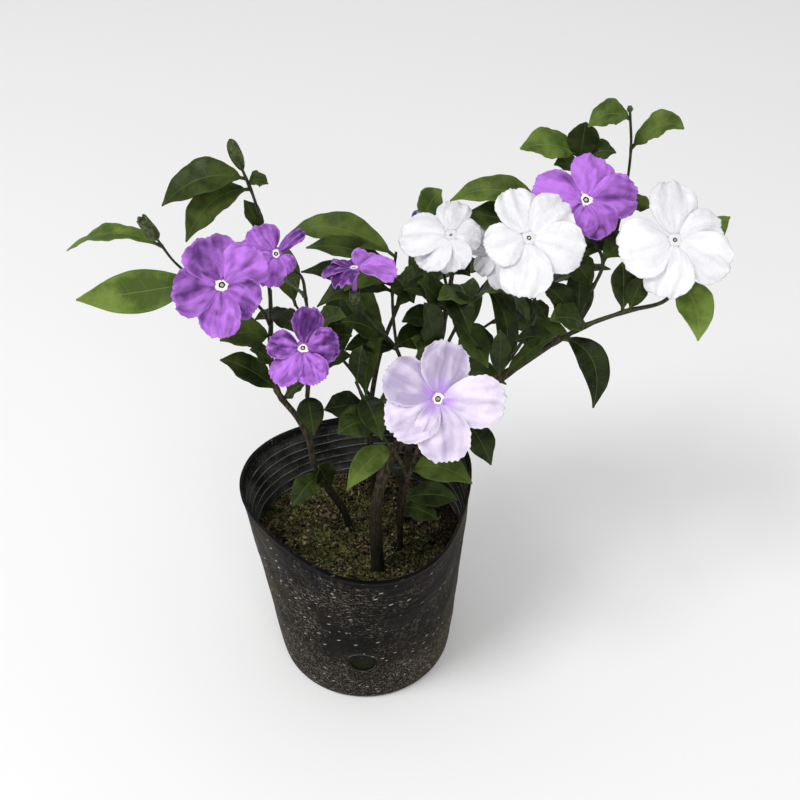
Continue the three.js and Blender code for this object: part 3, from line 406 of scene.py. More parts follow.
def build_chains():
    for name, _, parent, share, _, _, places in TWIGS:
        buried = None
        if parent == "soil":
            entry = seen(*places[0], SOIL_LEVEL, axis=2)
            buried = entry - UP * ROOTING_DEPTH
            points = [entry + UP * COLLAR_HEIGHT] + [seen(*place) for place in places[1:]]
        else:
            points = [place_on(parent, share)] + [seen(*place) for place in places]
        for bloom in BLOOMS:
            if bloom[2] == name:
                _, facing, foot = bloom_frame(bloom)
                end = foot - facing * (CALYX_LENGTH - SOCKET_DEPTH - 1)
                points += [end - facing * STRAIGHT_END, end]
        chains[name] = Chain(points, max(3, len(points) - 1), buried)


def nearest_share(name, px, py):
    def distance(share):
        x, y = pixel_of(place_on(name, share))
        return math.hypot(x - px, y - py)

    share = min((i / 60 for i in range(61)), key=distance)
    return min(share, last_share(name))


# Meshes are gathered as sheaves: points, faces with a material each, and two vectors a point.
# "place" holds mm across, the share along and 1 on the upper face of a leaf, the shares across and
# along and 1 on the front of a petal, 0 and how woody it is on a stem, and how mossy, how pale and
# 1 on a crumb for the soil. "trait" holds how bright a leaf or petal is painted (painted light and
# shade), then the half width of the leaf in mm, or how far out a petal's point lies, and a phase
# that makes each one differ.


class Sheaf:
    def __init__(self):
        self.points, self.faces, self.slots, self.places, self.traits = [], [], [], [], []
        self.count = 0

    def add(self, points, faces, slot, place=(0, 0, 0), trait=(0, 0, 0)):
        points = np.reshape(points, (-1, 3))
        self.points.append(points)
        for group in faces if isinstance(faces, list) else [faces]:
            self.faces += (group + self.count).tolist()
            self.slots += [slot] * len(group)
        self.places.append(np.broadcast_to(np.array(place, float), points.shape))
        self.traits.append(np.broadcast_to(np.array(trait, float), points.shape))
        self.count += len(points)

    def add_turned(self, origin, axis, profile, sides, slot, shape=None, place=(0, 0, 0), trait=(0, 0, 0)):
        """Rings of points round an axis. Entries of the profile are (distance along it, radius)."""
        reference = np.array([1.0, 0, 0]) if abs(axis[0]) < 0.7 else np.array([0, 1.0, 0])
        side = unit(reference - axis * (reference @ axis))
        other = np.cross(axis, side)
        angle = angles_round(sides)
        along, radius = (column[:, None] * np.ones(sides) for column in np.array(profile, float).T)
        if shape is not None:
            along, radius = shape(along, radius, angle)
        ring = np.cos(angle)[:, None] * side + np.sin(angle)[:, None] * other
        points = origin + along[..., None] * axis + radius[..., None] * ring
        self.add(points, ring_faces(len(profile), sides), slot, place, trait)

    def make(self, name, materials):
        mesh = bpy.data.meshes.new(name)
        mesh.from_pydata((np.concatenate(self.points) * METRES).tolist(), [], self.faces)
        for material in materials:
            mesh.materials.append(material)
        mesh.polygons.foreach_set("material_index", self.slots)
        mesh.polygons.foreach_set("use_smooth", [True] * len(mesh.polygons))
        for label, values in (("place", self.places), ("trait", self.traits)):
            layer = mesh.attributes.new(label, "FLOAT_VECTOR", "POINT")
            layer.data.foreach_set("vector", np.concatenate(values).astype(np.float32).ravel())
        mesh.update()
        made = bpy.data.objects.new(name, mesh)
        bpy.context.scene.collection.objects.link(made)
        return made


def grid_faces(rows, columns, closed=False):
    wide = columns if closed else columns - 1
    i, j = np.meshgrid(np.arange(rows - 1), np.arange(wide), indexing="ij")
    i, j = i.ravel(), j.ravel()
    k = (j + 1) % columns
    return np.stack([i * columns + j, (i + 1) * columns + j, (i + 1) * columns + k, i * columns + k], 1)


def ring_faces(rows, sides):
    return grid_faces(rows, sides, closed=True)[:, ::-1]


def capped_faces(rows, sides):
    """Rings of points that two more points close, one in the first ring and one in the last."""
    here = np.arange(sides)
    ahead = (here + 1) % sides
    centre = np.full(sides, rows * sides)
    last = (rows - 1) * sides
    caps = [np.stack([ahead, here, centre], 1), np.stack([centre + 1, last + here, last + ahead], 1)]
    return [ring_faces(rows, sides)] + caps


def blade(points, thickness):
    """The points and faces of a thin closed sheet about a grid of points."""
    rows, columns = points.shape[:2]
    normal = unit(np.cross(np.gradient(points, axis=0), np.gradient(points, axis=1)))
    half = np.asarray(thickness)[..., None] / 2
    both = np.stack([points + normal * half, points - normal * half])
    top = grid_faces(rows, columns)
    under = top[:, ::-1] + rows * columns
    index = np.arange(rows * columns).reshape(rows, columns)
    edge = np.concatenate([index[:-1, 0], index[-1, :-1], index[:0:-1, -1], index[0, :0:-1]])
    ahead = np.roll(edge, -1)
    wall = np.stack([ahead, edge, edge + rows * columns, ahead + rows * columns], 1)
    return both, np.concatenate([top, under, wall])


UPPER_FACE = np.array([1, 0])[:, None, None]


def vectors(both, *values):
    """A vector for each point on both faces of a blade, from three values that each fit its grid."""
    grid = both.shape[:-1]
    return np.stack([np.broadcast_to(value, grid) for value in values], -1).reshape(-1, 3)


def tube_of(chain, radius, knots, sides):
    """A stem's skin: round, slightly uneven, and swollen where leaves leave it."""
    count = (len(chain.points) - 1) * RINGS_A_LENGTH + 1
    shares = np.linspace(0, 1, count)
    centre = np.array([chain.smooth.at(share) for share in shares])
    tangent = unit(np.gradient(centre, axis=0))
    side = unit(np.cross(tangent[0], [0.3, 1.0, 0.2]))
    sides_along = []
    for way in tangent:
        side = unit(side - way * (side @ way))
        sides_along.append(side)
    sides_along = np.array(sides_along)
    other = np.cross(tangent, sides_along)
    radius = radius[0] + (radius[1] - radius[0]) * shares
    skin = radius
    for knot in knots:
        skin = skin * (1 + KNOT_SWELL * np.exp(-(((shares - knot) * chain.length / KNOT_REACH) ** 2)))
    angle = angles_round(sides)
    uneven = 1 + 0.05 * np.sin(3 * angle + 9 * shares[:, None]) + 0.04 * np.sin(31 * shares)[:, None]
    uneven = uneven * skin[:, None]
    ring = np.cos(angle)[:, None] * sides_along[:, None] + np.sin(angle)[:, None] * other[:, None]
    return centre[:, None] + ring * uneven[..., None], radius


def woodiness(height, radius):
    """From 0 on a green twig to 1 on bark."""
    return np.clip(1.25 - (height - 90) / 190 + (radius - 1.3) * 0.25, 0, 1)


def add_stem(sheaf, chain, grown_from, radius, knots, slot):
    sides = 14 if grown_from == "soil" else 10
    if grown_from != "soil":
        radius = [TWIG_SLIMNESS * end for end in radius]
    points, radii = tube_of(chain, radius, knots, sides)
    place = np.zeros((points[..., 0].size + 2, 3))
    place[:-2, 1] = woodiness(points[..., 2].reshape(-1), np.repeat(radii, sides))
    place[-2:, 1] = place[0, 1], place[-3, 1]
    ends = [chain.smooth.at(0), chain.smooth.at(1)]
    sheaf.add(np.concatenate([points.reshape(-1, 3), ends]), capped_faces(len(radii), sides), slot, place)


# Leaves


def leaf_half_width(width, t):
    swell = np.sin(np.pi * np.maximum(0, (t - 0.06) / 0.94) ** 0.92)
    blade_half = width / 2 * np.maximum(0, swell) ** 0.85 * (1 - 0.22 * smooth_step(0.7, 0.97, t))
    return np.maximum(0.75 * (1 - 0.5 * t), blade_half)


def add_leaf(sheaf, root, tip, width, arch, bow, face, phase, painted_brightness, slot):
    control = (root + tip) / 2 + UP * 2 * arch + EYE_RIGHT * 2 * bow
    t = np.linspace(0, 1, LEAF_ROWS)
    tall = t[:, None]
    centre = (1 - tall) ** 2 * root + 2 * tall * (1 - tall) * control + tall**2 * tip
    tangent = unit((1 - tall) * (control - root) + tall * (tip - control))
    normal = unit(face - tangent * (tangent @ face)[:, None])
    side = np.cross(tangent, normal)
    half = leaf_half_width(width, t)[:, None]
    s = LEAF_COLUMNS[None, :]
    outer = np.abs(s)
    broad = np.minimum(1, half / 4)
    wave = EDGE_WAVE * np.sin(5 * np.pi * tall + phase + s) * broad * outer**1.6
    frill = EDGE_FRILL * np.sin(15 * np.pi * tall + 2.3 * phase + 2 * s) * broad * outer**4
    vein = np.cos(2 * np.pi * VEIN_COUNT * (tall - 0.09 * outer))
    between = (4 * outer * (1 - outer)) ** 0.8
    quilt = -QUILTING * vein * between * np.minimum(1, half / 5)
    sideways = s * half
    groove = np.exp(-((sideways / 0.7) ** 2)) * broad
    height = LEAF_KEEL * half * outer**1.15 + wave + frill + quilt - MIDRIB_GROOVE * groove
    points = centre[:, None] + side[:, None] * sideways[..., None] + normal[:, None] * height[..., None]
    stalk = 1 - smooth_step(0.05, 0.13, tall)
    both, faces = blade(points, LEAF_THICKNESS + 0.45 * groove + 0.9 * stalk)
    place = vectors(both, sideways, tall, UPPER_FACE)
    sheaf.add(both, faces, slot, place, vectors(both, painted_brightness, half, phase))


def seeded(seed):
    """The same draws as the solids' own."""
    state = seed
    while True:
        state = state * 16807 % 2147483647
        yield state / 2147483647


def spray_leaves(spray, seed):
    twig, count, start, stop, length, width = spray
    draw = seeded(seed)
    for i in range(count):
        share = start + (stop - start) * i / max(1, count - 1)
        root = place_on(twig, share)
        tangent = chains[twig].tangent_at(share)
        side = unit(np.cross(tangent, UP))
        turn = i * GOLDEN_TURN + next(draw) * 0.6
        upward = 0.35 * math.sin(turn) - 0.1
        direction = unit(side * math.cos(turn) + UP * upward + tangent * 0.75)
        reach = length * (0.85 + 0.3 * next(draw))
        face = UP + direction * 0.15
        yield root, root + direction * reach, width, reach * 0.12, 0, face, next(draw) * 6


# Flowers

# How each bloom looks, in the order of BLOOMS. Each entry: size of its eye, how crumpled its petals
# are, how ragged their edges are, and how bright each petal is painted, from 0 to 1: painted shade on
# petals that tilt from the light, painted light on those that face it.
BLOOM_LOOKS = [
    (0.86, 1.3, 0.8, [0.42, 0.45, 0.62, 0.42, 0.78]),
    (0.58, 0.9, 0.6, [0.75, 0.95, 0.9, 0.85, 0.45]),
    (0.5, 0.9, 0.8, [0.05, 0.1, 0.8, 0.95, 0.05]),
    (0.6, 1.9, 1.2, [0.1, 0.4, 0.8, 0.76, 0.42]),
    (0.8, 1.3, 0.8, [1.0, 1.0, 0.75, 0.65, 0.75]),
    (0.76, 0.9, 1.1, [0.12, 0.1, 0.6, 0.55, 0.78]),
    (0.4, 0.6, 0.7, [0.8, 0.7, 0.9, 0.9, 0.9]),
    (0.62, 0.6, 0.7, [0.7, 0.8, 0.9, 0.8, 0.8]),
    (0.48, 0.7, 0.7, [0.8, 0.6, 0.8, 0.8, 0.7]),
    (0.6, 0.5, 0.7, [0.6, 0.9, 0.8, 0.85, 0.7]),
]
FOLDED_PETAL = (421, 438, 0.55)  # a small sixth lobe that lies over the lilac bloom
FOLDED_PETAL_LIFT = 2.6
PETAL, MOUTH, THROAT, STIGMA = range(4)


def petal_half_width(widest, s):
    spread = np.sin(np.pi / 2 * np.minimum(1, s / PETAL_WIDEST)) ** 0.65
    past = np.maximum(0, s - PETAL_WIDEST) / (PETAL_END * (1 - PETAL_WIDEST))
    return PETAL_CLAW + (widest / 2 - PETAL_CLAW) * spread * (1 - past**2.4) ** 0.45


def add_petal(sheaf, eye, facing, petal, phase, painted_brightness, look, lift=0.0):
    ring, crumple, ragged, _ = look
    tip_x, tip_y, breadth = petal
    line = sight_line(tip_x, tip_y)
    tip = EYE + line * (((eye - EYE) @ facing) / (line @ facing))
    length = np.linalg.norm(tip - eye)
    outward = unit(tip - eye)
    lateral = np.cross(facing, outward)
    s = (np.linspace(0, 1, PETAL_ROWS) ** 0.85)[:, None]
    c = np.sin(np.linspace(-1, 1, PETAL_COLUMNS) * 1.1)[None, :] / math.sin(1.1)
    side = np.abs(c)
    soon = np.minimum(1, 2 * s)
    along = (length - PETAL_ROOT) * s * (1 - PETAL_CORNER * (0.45 * c**2 + 0.55 * c**4) * s)
    sideways = petal_half_width(breadth * length, s) * c
    around = np.arctan2(sideways, along + PETAL_ROOT)
    torn = 0.8 * np.sin(15 * around + phase) + np.sin(47 * around + 5 * np.sin(6 * around) + 2 * phase)
    notch = 2.2 * np.exp(-(((c - 0.4 * math.sin(phase)) / 0.13) ** 2))
    along = PETAL_ROOT + along * (1 + ragged * 0.014 * s**6 * (torn - notch))
    uneven = np.sin(8 * s + phase + c) + 0.6 * np.sin(21 * s - phase) + 0.6 * np.sin(47 * s + phase)
    sideways = sideways * (1 + ragged * 0.024 * uneven * side**4 * soon)
    edge = np.maximum(s**4, side**4 * soon)
    belly = np.sin(np.pi * s)
    bend = 1.3 * np.sin(3.1 * s + 2.3 * phase) + 4.2 * s
    folds = 0.65 * np.sin(5 * around + bend + 2.9 * phase) + 0.35 * np.sin(11 * around - 7 * s + 1.3 * phase)
    folds = folds * np.minimum(1, 3 * s) * (1 - 0.3 * s)
    frill = np.sin(11 * around + 6 * s + 1.7 * phase) * 0.6 + 0.4 * np.sin(29 * around - 10 * s + phase)
    groove = np.exp(-((c / 0.1) ** 2)) * belly**0.6
    puckers = np.sin(17 * s + 8 * c + phase) * np.sin(12 * c - 9 * s + 2 * phase) * soon
    height = 1.2 * s * s * np.sin(phase + 2.6 * np.pi * c) + PETAL_TWIST * c * np.minimum(1, 1.6 * s)
    height = height + PETAL_BELLY * belly - PETAL_DROOP * s * s + lift * soon
    height = height + crumple * (PETAL_FOLDS * folds + PETAL_FRILL * edge * frill) - PETAL_GROOVE * groove
    height = height + 0.07 * np.cos(9 * np.pi * c + 3 * s) * belly + 0.22 * crumple * puckers
    points = eye + along[..., None] * outward + sideways[..., None] * lateral + height[..., None] * facing
    both, faces = blade(points, PETAL_THICKNESS + 0.25 * (1 - s) * (1 - side))
    # Painted shade where a petal tucks under its neighbour by the eye and along its middle groove, and
    # painted light and shade over its folds and puckers.
    tucked_shade = smooth_step(0.25, 0.9, -c) * (1 - smooth_step(0.2, 0.75, s))
    bright = painted_brightness + 0.25 * min(crumple, 1) * (folds + 0.25 * puckers) - 0.55 * tucked_shade - 0.25 * groove
    trait = vectors(both, bright, np.hypot(along, sideways) / ring, phase)
    sheaf.add(both, faces, PETAL, vectors(both, c, s, UPPER_FACE), trait)


def add_bloom(sheaf, entry, seed):
    eye, facing, foot = bloom_frame(entry)
    look = BLOOM_LOOKS[seed]
    ring = look[0]
    for i, petal in enumerate(entry[5]):
        add_petal(sheaf, eye, facing, petal, seed + i * PETAL_TURN, look[3][i], look)
    if entry[1] == "lilac":
        add_petal(sheaf, eye, facing, FOLDED_PETAL, 2.2, 0.7, look, FOLDED_PETAL_LIFT)
    tube = [(0, 0), (0, TUBE_RADIUS), (5, TUBE_RADIUS), (10, TUBE_RADIUS + 0.1), (13, 1.7), (15, 2.5)]
    tube += [(TUBE_LENGTH - 0.6, THROAT_RADIUS), (TUBE_LENGTH + 0.1, 3.1)]
    sheaf.add_turned(foot, facing, tube, 20, PETAL, None, (0, 0.5, 0), (0.15, 12, seed))

    def five_lobed(along, radius, angle):
        return along, radius * (1 + 0.05 * np.cos(5 * angle + seed) + 0.04 * np.cos(2 * angle + 2 * seed))

    collar = [(-0.7, 3.2), (-0.1, 3.8), (0.25, 3.0), (0.4, 2.5 * ring)]
    trait = [(0.5, radius / ring, 0) for _, radius in collar for _ in range(40)]
    sheaf.add_turned(eye, facing, collar, 40, PETAL, five_lobed, (0, 0, 1), trait)
    lip = [(0.4, 2.5), (0.44, 2.2), (0.2, 1.9)]
    throat = [(0.2, 1.9), (-0.1, 1.6), (-0.8, 1.3), (-2, 1.1), (-2.2, 0)]
    stigma = [(-2.2, 0.5), (-0.8, 0.7), (-0.1, 1.15), (0.3, 1.0), (0.5, 0.5), (0.55, 0)]
    parts = ((lip, 40, MOUTH, five_lobed), (throat, 30, THROAT, five_lobed), (stigma, 16, STIGMA, None))
    for profile, sides, slot, shape in parts:
        profile = [(along, radius * ring) for along, radius in profile]
        sheaf.add_turned(eye, facing, profile, sides, slot, shape)


def add_calyx(sheaf, foot, facing, slot):
    bottom = foot - facing * (CALYX_LENGTH - SOCKET_DEPTH)

    def toothed(along, radius, angle):
        mouth = smooth_step(0.72 * CALYX_LENGTH, CALYX_LENGTH, along)
        tooth = 1.2 * np.abs(np.cos(CALYX_TEETH / 2 * angle)) - 0.7
        ribbed = 1 + 0.04 * np.cos(2 * CALYX_TEETH * angle)
        return along + mouth * tooth, radius * ribbed

    profile = [(0, 0), (0, 1.1), (0.9, 1.7), (2.2, 2.45), (4.5, 2.6), (6.5, 2.55), (8, 2.5)]
    profile += [(8.1, 2.25), (6, 2.0), (3.5, 1.5), (3.3, 0)]
    sheaf.add_turned(bottom, facing, profile, 30, slot, toothed, trait=(0.5, 0, 0))


# Shares of a bud's length and of its radius
OPEN_BUD = [(-0.05, 0), (-0.04, 0.2), (0.05, 0.55), (0.18, 0.9), (0.35, 1), (0.6, 0.92), (0.85, 0.84)]
OPEN_BUD += [(1, 0.8), (1.0, 0.7), (0.8, 0.6), (0.6, 0.45), (0.55, 0)]
CLOSED_BUD = [(-0.05, 0), (-0.04, 0.22), (0.05, 0.5), (0.18, 0.74), (0.36, 0.94), (0.54, 1)]
CLOSED_BUD += [(0.7, 0.95), (0.83, 0.78), (0.92, 0.52), (0.98, 0.22), (1, 0)]


def add_bud(sheaf, base, direction, length, radius, is_open, slot):
    def ridged(along, around, angle):
        share = np.clip(along / length, 0, 1)
        ridge = 0.07 * np.cos(5 * angle + 2.2 * share)
        lift = 0
        if is_open:
            lift = smooth_step(0.75, 1, share) * (1.6 * np.abs(np.cos(2.5 * angle)) - 1)
        return along + lift, around * (1 + ridge)

    shares = OPEN_BUD if is_open else CLOSED_BUD
    profile = [(along * length, around * radius) for along, around in shares]
    sheaf.add_turned(base, direction, profile, 30, slot, ridged, trait=(0.8, 0, 0))


# Pot


def lobed(radius, angle, z):
    """Round the pot's axis, pressed out of round towards the rim."""
    share = np.clip(z / POT_HEIGHT, 0, 1) ** 1.5
    around = radius * (1 + RIM_SQUEEZE * share * np.cos(3 * angle - RIM_SQUEEZE_TURN))
    return np.stack([around * np.cos(angle), around * np.sin(angle), z + 0 * angle], -1)


def outer_radius(z):
    return BASE_RADIUS + (RIM_RADIUS - BASE_RADIUS) * z / POT_HEIGHT


def ring_swell(z):
    turn = (z - LOWEST_RING) / RING_PITCH
    inside = (turn > 0) & (turn < RING_COUNT)
    return np.where(inside, RING_DEPTH * (0.5 - 0.5 * np.cos(2 * np.pi * turn)) ** 0.6, 0)


def dents(angle, z):
    """Shallow unevenness of a soft wall, alike on both of its faces."""
    slow = 0.32 * np.sin(4 * angle + 0.03 * z) * np.sin(0.045 * z + 1.1)
    quick = 0.16 * np.sin(11 * angle - 0.07 * z) * np.sin(0.11 * z) + 0.1 * np.sin(23 * angle + 0.2 * z)
    return (slow + quick) * smooth_step(4, 20, z) * (1 - 0.6 * smooth_step(115, 128, z))


def rounded_foot(wall, turns):
    """The foot's quarter round, on a face that lies this far inside the outer one."""
    rounding = FOOT_ROUNDING - wall
    for turn in turns:
        yield BASE_RADIUS - FOOT_ROUNDING + rounding * math.sin(turn), wall + rounding * (1 - math.cos(turn))


def pot_piece():
    angle = angles_round(POT_SIDES)
    quarter = np.linspace(0, math.pi / 2, 7)
    fine = np.concatenate([np.linspace(7, 84, 24), np.linspace(87, 126, 70)])
    rows = list(rounded_foot(0, quarter))
    rows += [(outer_radius(z) + 0.12 * ring_swell(z) / RING_DEPTH, z) for z in fine]
    rows += [(RIM_RADIUS, 127.5), (RIM_RADIUS + 0.35, 128.6), (RIM_RADIUS + 0.4, 129.4), (RIM_RADIUS, 129.95)]
    rows += [(RIM_RADIUS - 0.8, 130), (RIM_RADIUS - 1.4, 129.6), (RIM_RADIUS - 1.5, 128.6)]
    rows += [(outer_radius(z) + ring_swell(z) - WALL, z) for z in fine[::-1]]
    rows += rounded_foot(WALL, quarter[::-1])
    points = [lobed(radius + dents(angle, z), angle, z) for radius, z in rows]
    points = np.concatenate([np.reshape(points, (-1, 3)), [[0, 0, 0], [0, 0, WALL]]])
    sheaf = Sheaf()
    sheaf.add(points, capped_faces(len(rows), POT_SIDES), 0)
    pot = sheaf.make("pot_shell", [pot_material()])
    for i in range(HOLE_COUNT):
        cut_hole(pot, -math.pi / 2 + i * FULL_TURN / HOLE_COUNT)
    pot.data.polygons.foreach_set("use_smooth", [True] * len(pot.data.polygons))
    return pot


def cut_hole(pot, angle):
    drill = Sheaf()
    outward = np.array([math.cos(angle), math.sin(angle), 0])
    start = outward * (BASE_RADIUS - DRILL_START) + UP * HOLE_HEIGHT
    profile = [(0, 0.001), (0, HOLE_RADIUS), (DRILL_LENGTH, HOLE_RADIUS), (DRILL_LENGTH, 0.001)]

    def torn(along, radius, turn):
        return along, radius * (1 + 0.02 * np.sin(3 * turn) + 0.012 * np.sin(7 * turn))

    drill.add_turned(start, outward, profile, 48, 0, torn)
    cutter = drill.make("drill", [])
    work = bmesh.new()
    work.from_mesh(cutter.data)
    bmesh.ops.remove_doubles(work, verts=work.verts, dist=2e-6)
    bmesh.ops.recalc_face_normals(work, faces=work.faces)
    work.to_mesh(cutter.data)
    work.free()
    cut = pot.modifiers.new("hole", "BOOLEAN")
    cut.operation = "DIFFERENCE"
    cut.solver = "EXACT"
    cut.object = cutter
    with bpy.context.temp_override(object=pot, active_object=pot, selected_objects=[pot]):
        bpy.ops.object.modifier_apply(modifier=cut.name)
    bpy.data.objects.remove(cutter, do_unlink=True)


# Soil


def soil_height(x, y):
    slope = -SOIL_RISE_LEFT * x - SOIL_FALL_BACK * y
    lumps = 0.9 * np.sin(0.21 * x + 1.3) * np.sin(0.18 * y) + 0.7 * np.sin(0.37 * x - 0.31 * y)
    return SOIL_LEVEL + slope + lumps


def moss_cover(x, y):
    """Where moss grows, from 0 to 1: in drifts over the middle, and none by the wall in front."""
    drifts = np.sin(0.11 * x + 0.9) * np.sin(0.13 * y - 0.5) + 0.5 * np.sin(0.27 * x + 0.23 * y)
    distance = np.hypot(x + 6, y + 2)
    return smooth_step(-0.35, 0.35, drifts + 0.45 - (distance / MOSS_REACH) ** 4)


def crumbs_height(x, y):
    fine = 0.5 * np.sin(0.9 * x + 0.5 * np.sin(0.7 * y)) * np.sin(1.05 * y + 0.6 * np.sin(0.8 * x))
    finer = 0.35 * np.sin(2.1 * x - 1.3 * y) * np.sin(1.7 * y + 0.9 * x)
    return fine + finer + 0.9 * moss_cover(x, y) * (0.6 + 0.4 * np.sin(0.6 * x) * np.sin(0.5 * y))


def soil_surface(x, y):
    return float(soil_height(x, y) + crumbs_height(x, y))


def soil_piece():
    clear = WALL + SOIL_CLEAR
    angle = angles_round(SOIL_SIDES)
    base = BASE_RADIUS - FOOT_ROUNDING
    lower = [(0.01, SOIL_FLOOR), (base, SOIL_FLOOR), (base + 1, 3.0)]
    lower += [(outer_radius(z) - clear, z) for z in (8, 30, 54, 70)]
    rows = [lobed(radius, angle, z) for radius, z in lower]
    for share in np.linspace(1, 0.02, SOIL_RINGS):
        flat = lobed(outer_radius(SOIL_LEVEL) * share, angle, SOIL_LEVEL)
        level = soil_height(flat[:, 0], flat[:, 1])
        place = lobed((outer_radius(level) - clear) * share, angle, level)
        fade = min(1, (1 - share) * 12)
        place[:, 2] += crumbs_height(place[:, 0], place[:, 1]) * fade
        rows.append(place)
    centres = [[0, 0, SOIL_FLOOR], [0, 0, soil_surface(0.0, 0.0)]]
    points = np.concatenate([np.reshape(rows, (-1, 3)), centres])
    place = np.zeros_like(points)
    place[:, 0] = moss_cover(points[:, 0], points[:, 1])
    sheaf = Sheaf()
    sheaf.add(points, capped_faces(len(rows), SOIL_SIDES), 0, place)
    add_crumbs(sheaf)
    add_flakes(sheaf)
    add_moss(sheaf)
    return sheaf.make("soil_bed", [soil_material(), flake_material(), moss_material()])


def scattered(draw, count, wanted):
    """Seeded places on the soil, each kept with the chance that wanted gives."""
    limit = 0.93 * (outer_radius(SOIL_LEVEL) - WALL) * (1 - RIM_SQUEEZE * 0.55)
    found = []
    while len(found) < count:
        x, y = draw.uniform(-PIT_RADIUS, PIT_RADIUS, 2)
        if math.hypot(x, y) > limit:
            continue
        if draw.random() > wanted(x, y):
            continue
        found.append((x, y))
    return found


def add_crumbs(sheaf):
    """Twenty-sided crumbs, each pressed and turned in its own way."""
    draw = np.random.default_rng(CRUMB_SEED)
    golden = (1 + 5**0.5) / 2
    corners = [np.roll((a, b, 0), k) for k in range(3) for b in (golden, -golden) for a in (-1, 1)]
    corners = np.array(corners) / math.hypot(1, golden)
    sides = np.array(
        [(0, 11, 5), (0, 5, 1), (0, 1, 7), (0, 7, 10), (0, 10, 11), (1, 5, 9), (5, 11, 4), (11, 10, 2),
         (10, 7, 6), (7, 1, 8), (3, 9, 4), (3, 4, 2), (3, 2, 6), (3, 6, 8), (3, 8, 9), (4, 9, 5), (2, 4, 11),
         (6, 2, 10), (8, 6, 7), (9, 8, 1)]
    )
    for x, y in scattered(draw, CRUMB_COUNT, lambda x, y: 1 - 0.6 * moss_cover(x, y)):
        size = 0.5 + 1.5 * draw.random() ** 2.5
        shape = corners * (0.8 + 0.4 * draw.random((12, 1))) * size
        shape = shape * np.array([1, 0.8 + 0.3 * draw.random(), 0.7])
        turn = draw.uniform(0, FULL_TURN)
        cosine, sine = math.cos(turn), math.sin(turn)
        shape = shape @ np.array([[cosine, sine, 0], [-sine, cosine, 0], [0, 0, 1]])
        middle = [x, y, soil_surface(x, y) + 0.15 * size]
        sheaf.add(shape + middle, sides, 0, (0, draw.random(), 1))


def add_flakes(sheaf):
    """Dry chips and straw of bark and root on the soil."""
    draw = np.random.default_rng(FLAKE_SEED)
    s = np.linspace(-1, 1, 5)[:, None, None]
    c = np.linspace(-1, 1, 3)[None, :, None]
    for x, y in scattered(draw, FLAKE_COUNT, lambda x, y: 0.35 + 0.65 * (y < -22 and x < 20)):
        long, wide = 0.9 + 3.4 * draw.random() ** 2, draw.uniform(0.4, 1.2)
        turn, tilt = draw.uniform(0, math.pi), draw.uniform(-0.35, 0.35)
        way = np.array([math.cos(turn), math.sin(turn), tilt])
        side = np.array([-math.sin(turn), math.cos(turn), draw.uniform(-0.4, 0.4)])
        curl = (0.5 * s * s * long * 0.18 + 0.15 * c * c) * UP
        middle = np.array([x, y, soil_surface(x, y) + 0.7])
        across = c * side * wide / 2 * (1 - 0.5 * s * s)
        both, faces = blade(middle + s * way * long / 2 + across + curl, np.full((5, 3), 0.3))
        sheaf.add(both, faces, 1, (0, draw.random() ** 1.6, 0))


def add_moss(sheaf):
    """Tufts of short pointed shoots."""
    draw = np.random.default_rng(MOSS_SEED)
    for x, y in scattered(draw, TUFT_COUNT, lambda x, y: moss_cover(x, y) ** 2):
        ground = np.array([x, y, soil_surface(x, y) - 0.2])
        hue = draw.random()
        for _ in range(SHOOTS_A_TUFT):
            turn = draw.uniform(0, FULL_TURN)
            way = np.array([math.cos(turn), math.sin(turn), 0])
            lean = way * draw.uniform(0.2, 1.0)
            tall = draw.uniform(0.9, 2.2)
            side = np.cross(UP, way) * 0.28
            foot = ground + draw.uniform(-0.5, 0.5, 3) * [1, 1, 0]
            top = foot + UP * tall + lean * tall * 0.7
            points = np.array([foot - side, foot + side, foot + way * 0.18, top])
            sheaf.add(points, np.array([(0, 1, 3), (1, 2, 3), (2, 0, 3), (0, 2, 1)]), 2, (0, hue, 0))


# Materials. A colour is written as the eye sees it, from 0 to 255, and made linear here.


def tone(red, green, blue):
    shares = [part / 255 for part in (red, green, blue)]
    return (*[v / 12.92 if v <= 10 / 255 else ((v + 0.055) / 1.055) ** 2.4 for v in shares], 1)


def by_node(operation):
    return lambda wire, *others: wire.surface.maths(operation, wire, *others)


class Wire:
    """One output of a node. The sum, product and so on of wires is a node of its own."""

    __add__ = by_node("ADD")
    __sub__ = by_node("SUBTRACT")
    __mul__ = by_node("MULTIPLY")
    __truediv__ = by_node("DIVIDE")
    __pow__ = by_node("POWER")
    __abs__ = by_node("ABSOLUTE")

    def __init__(self, surface, socket):
        self.surface = surface
        self.socket = socket

    def beside(self, name):
        """Another output of the same node."""
        return Wire(self.surface, self.socket.node.outputs[name])


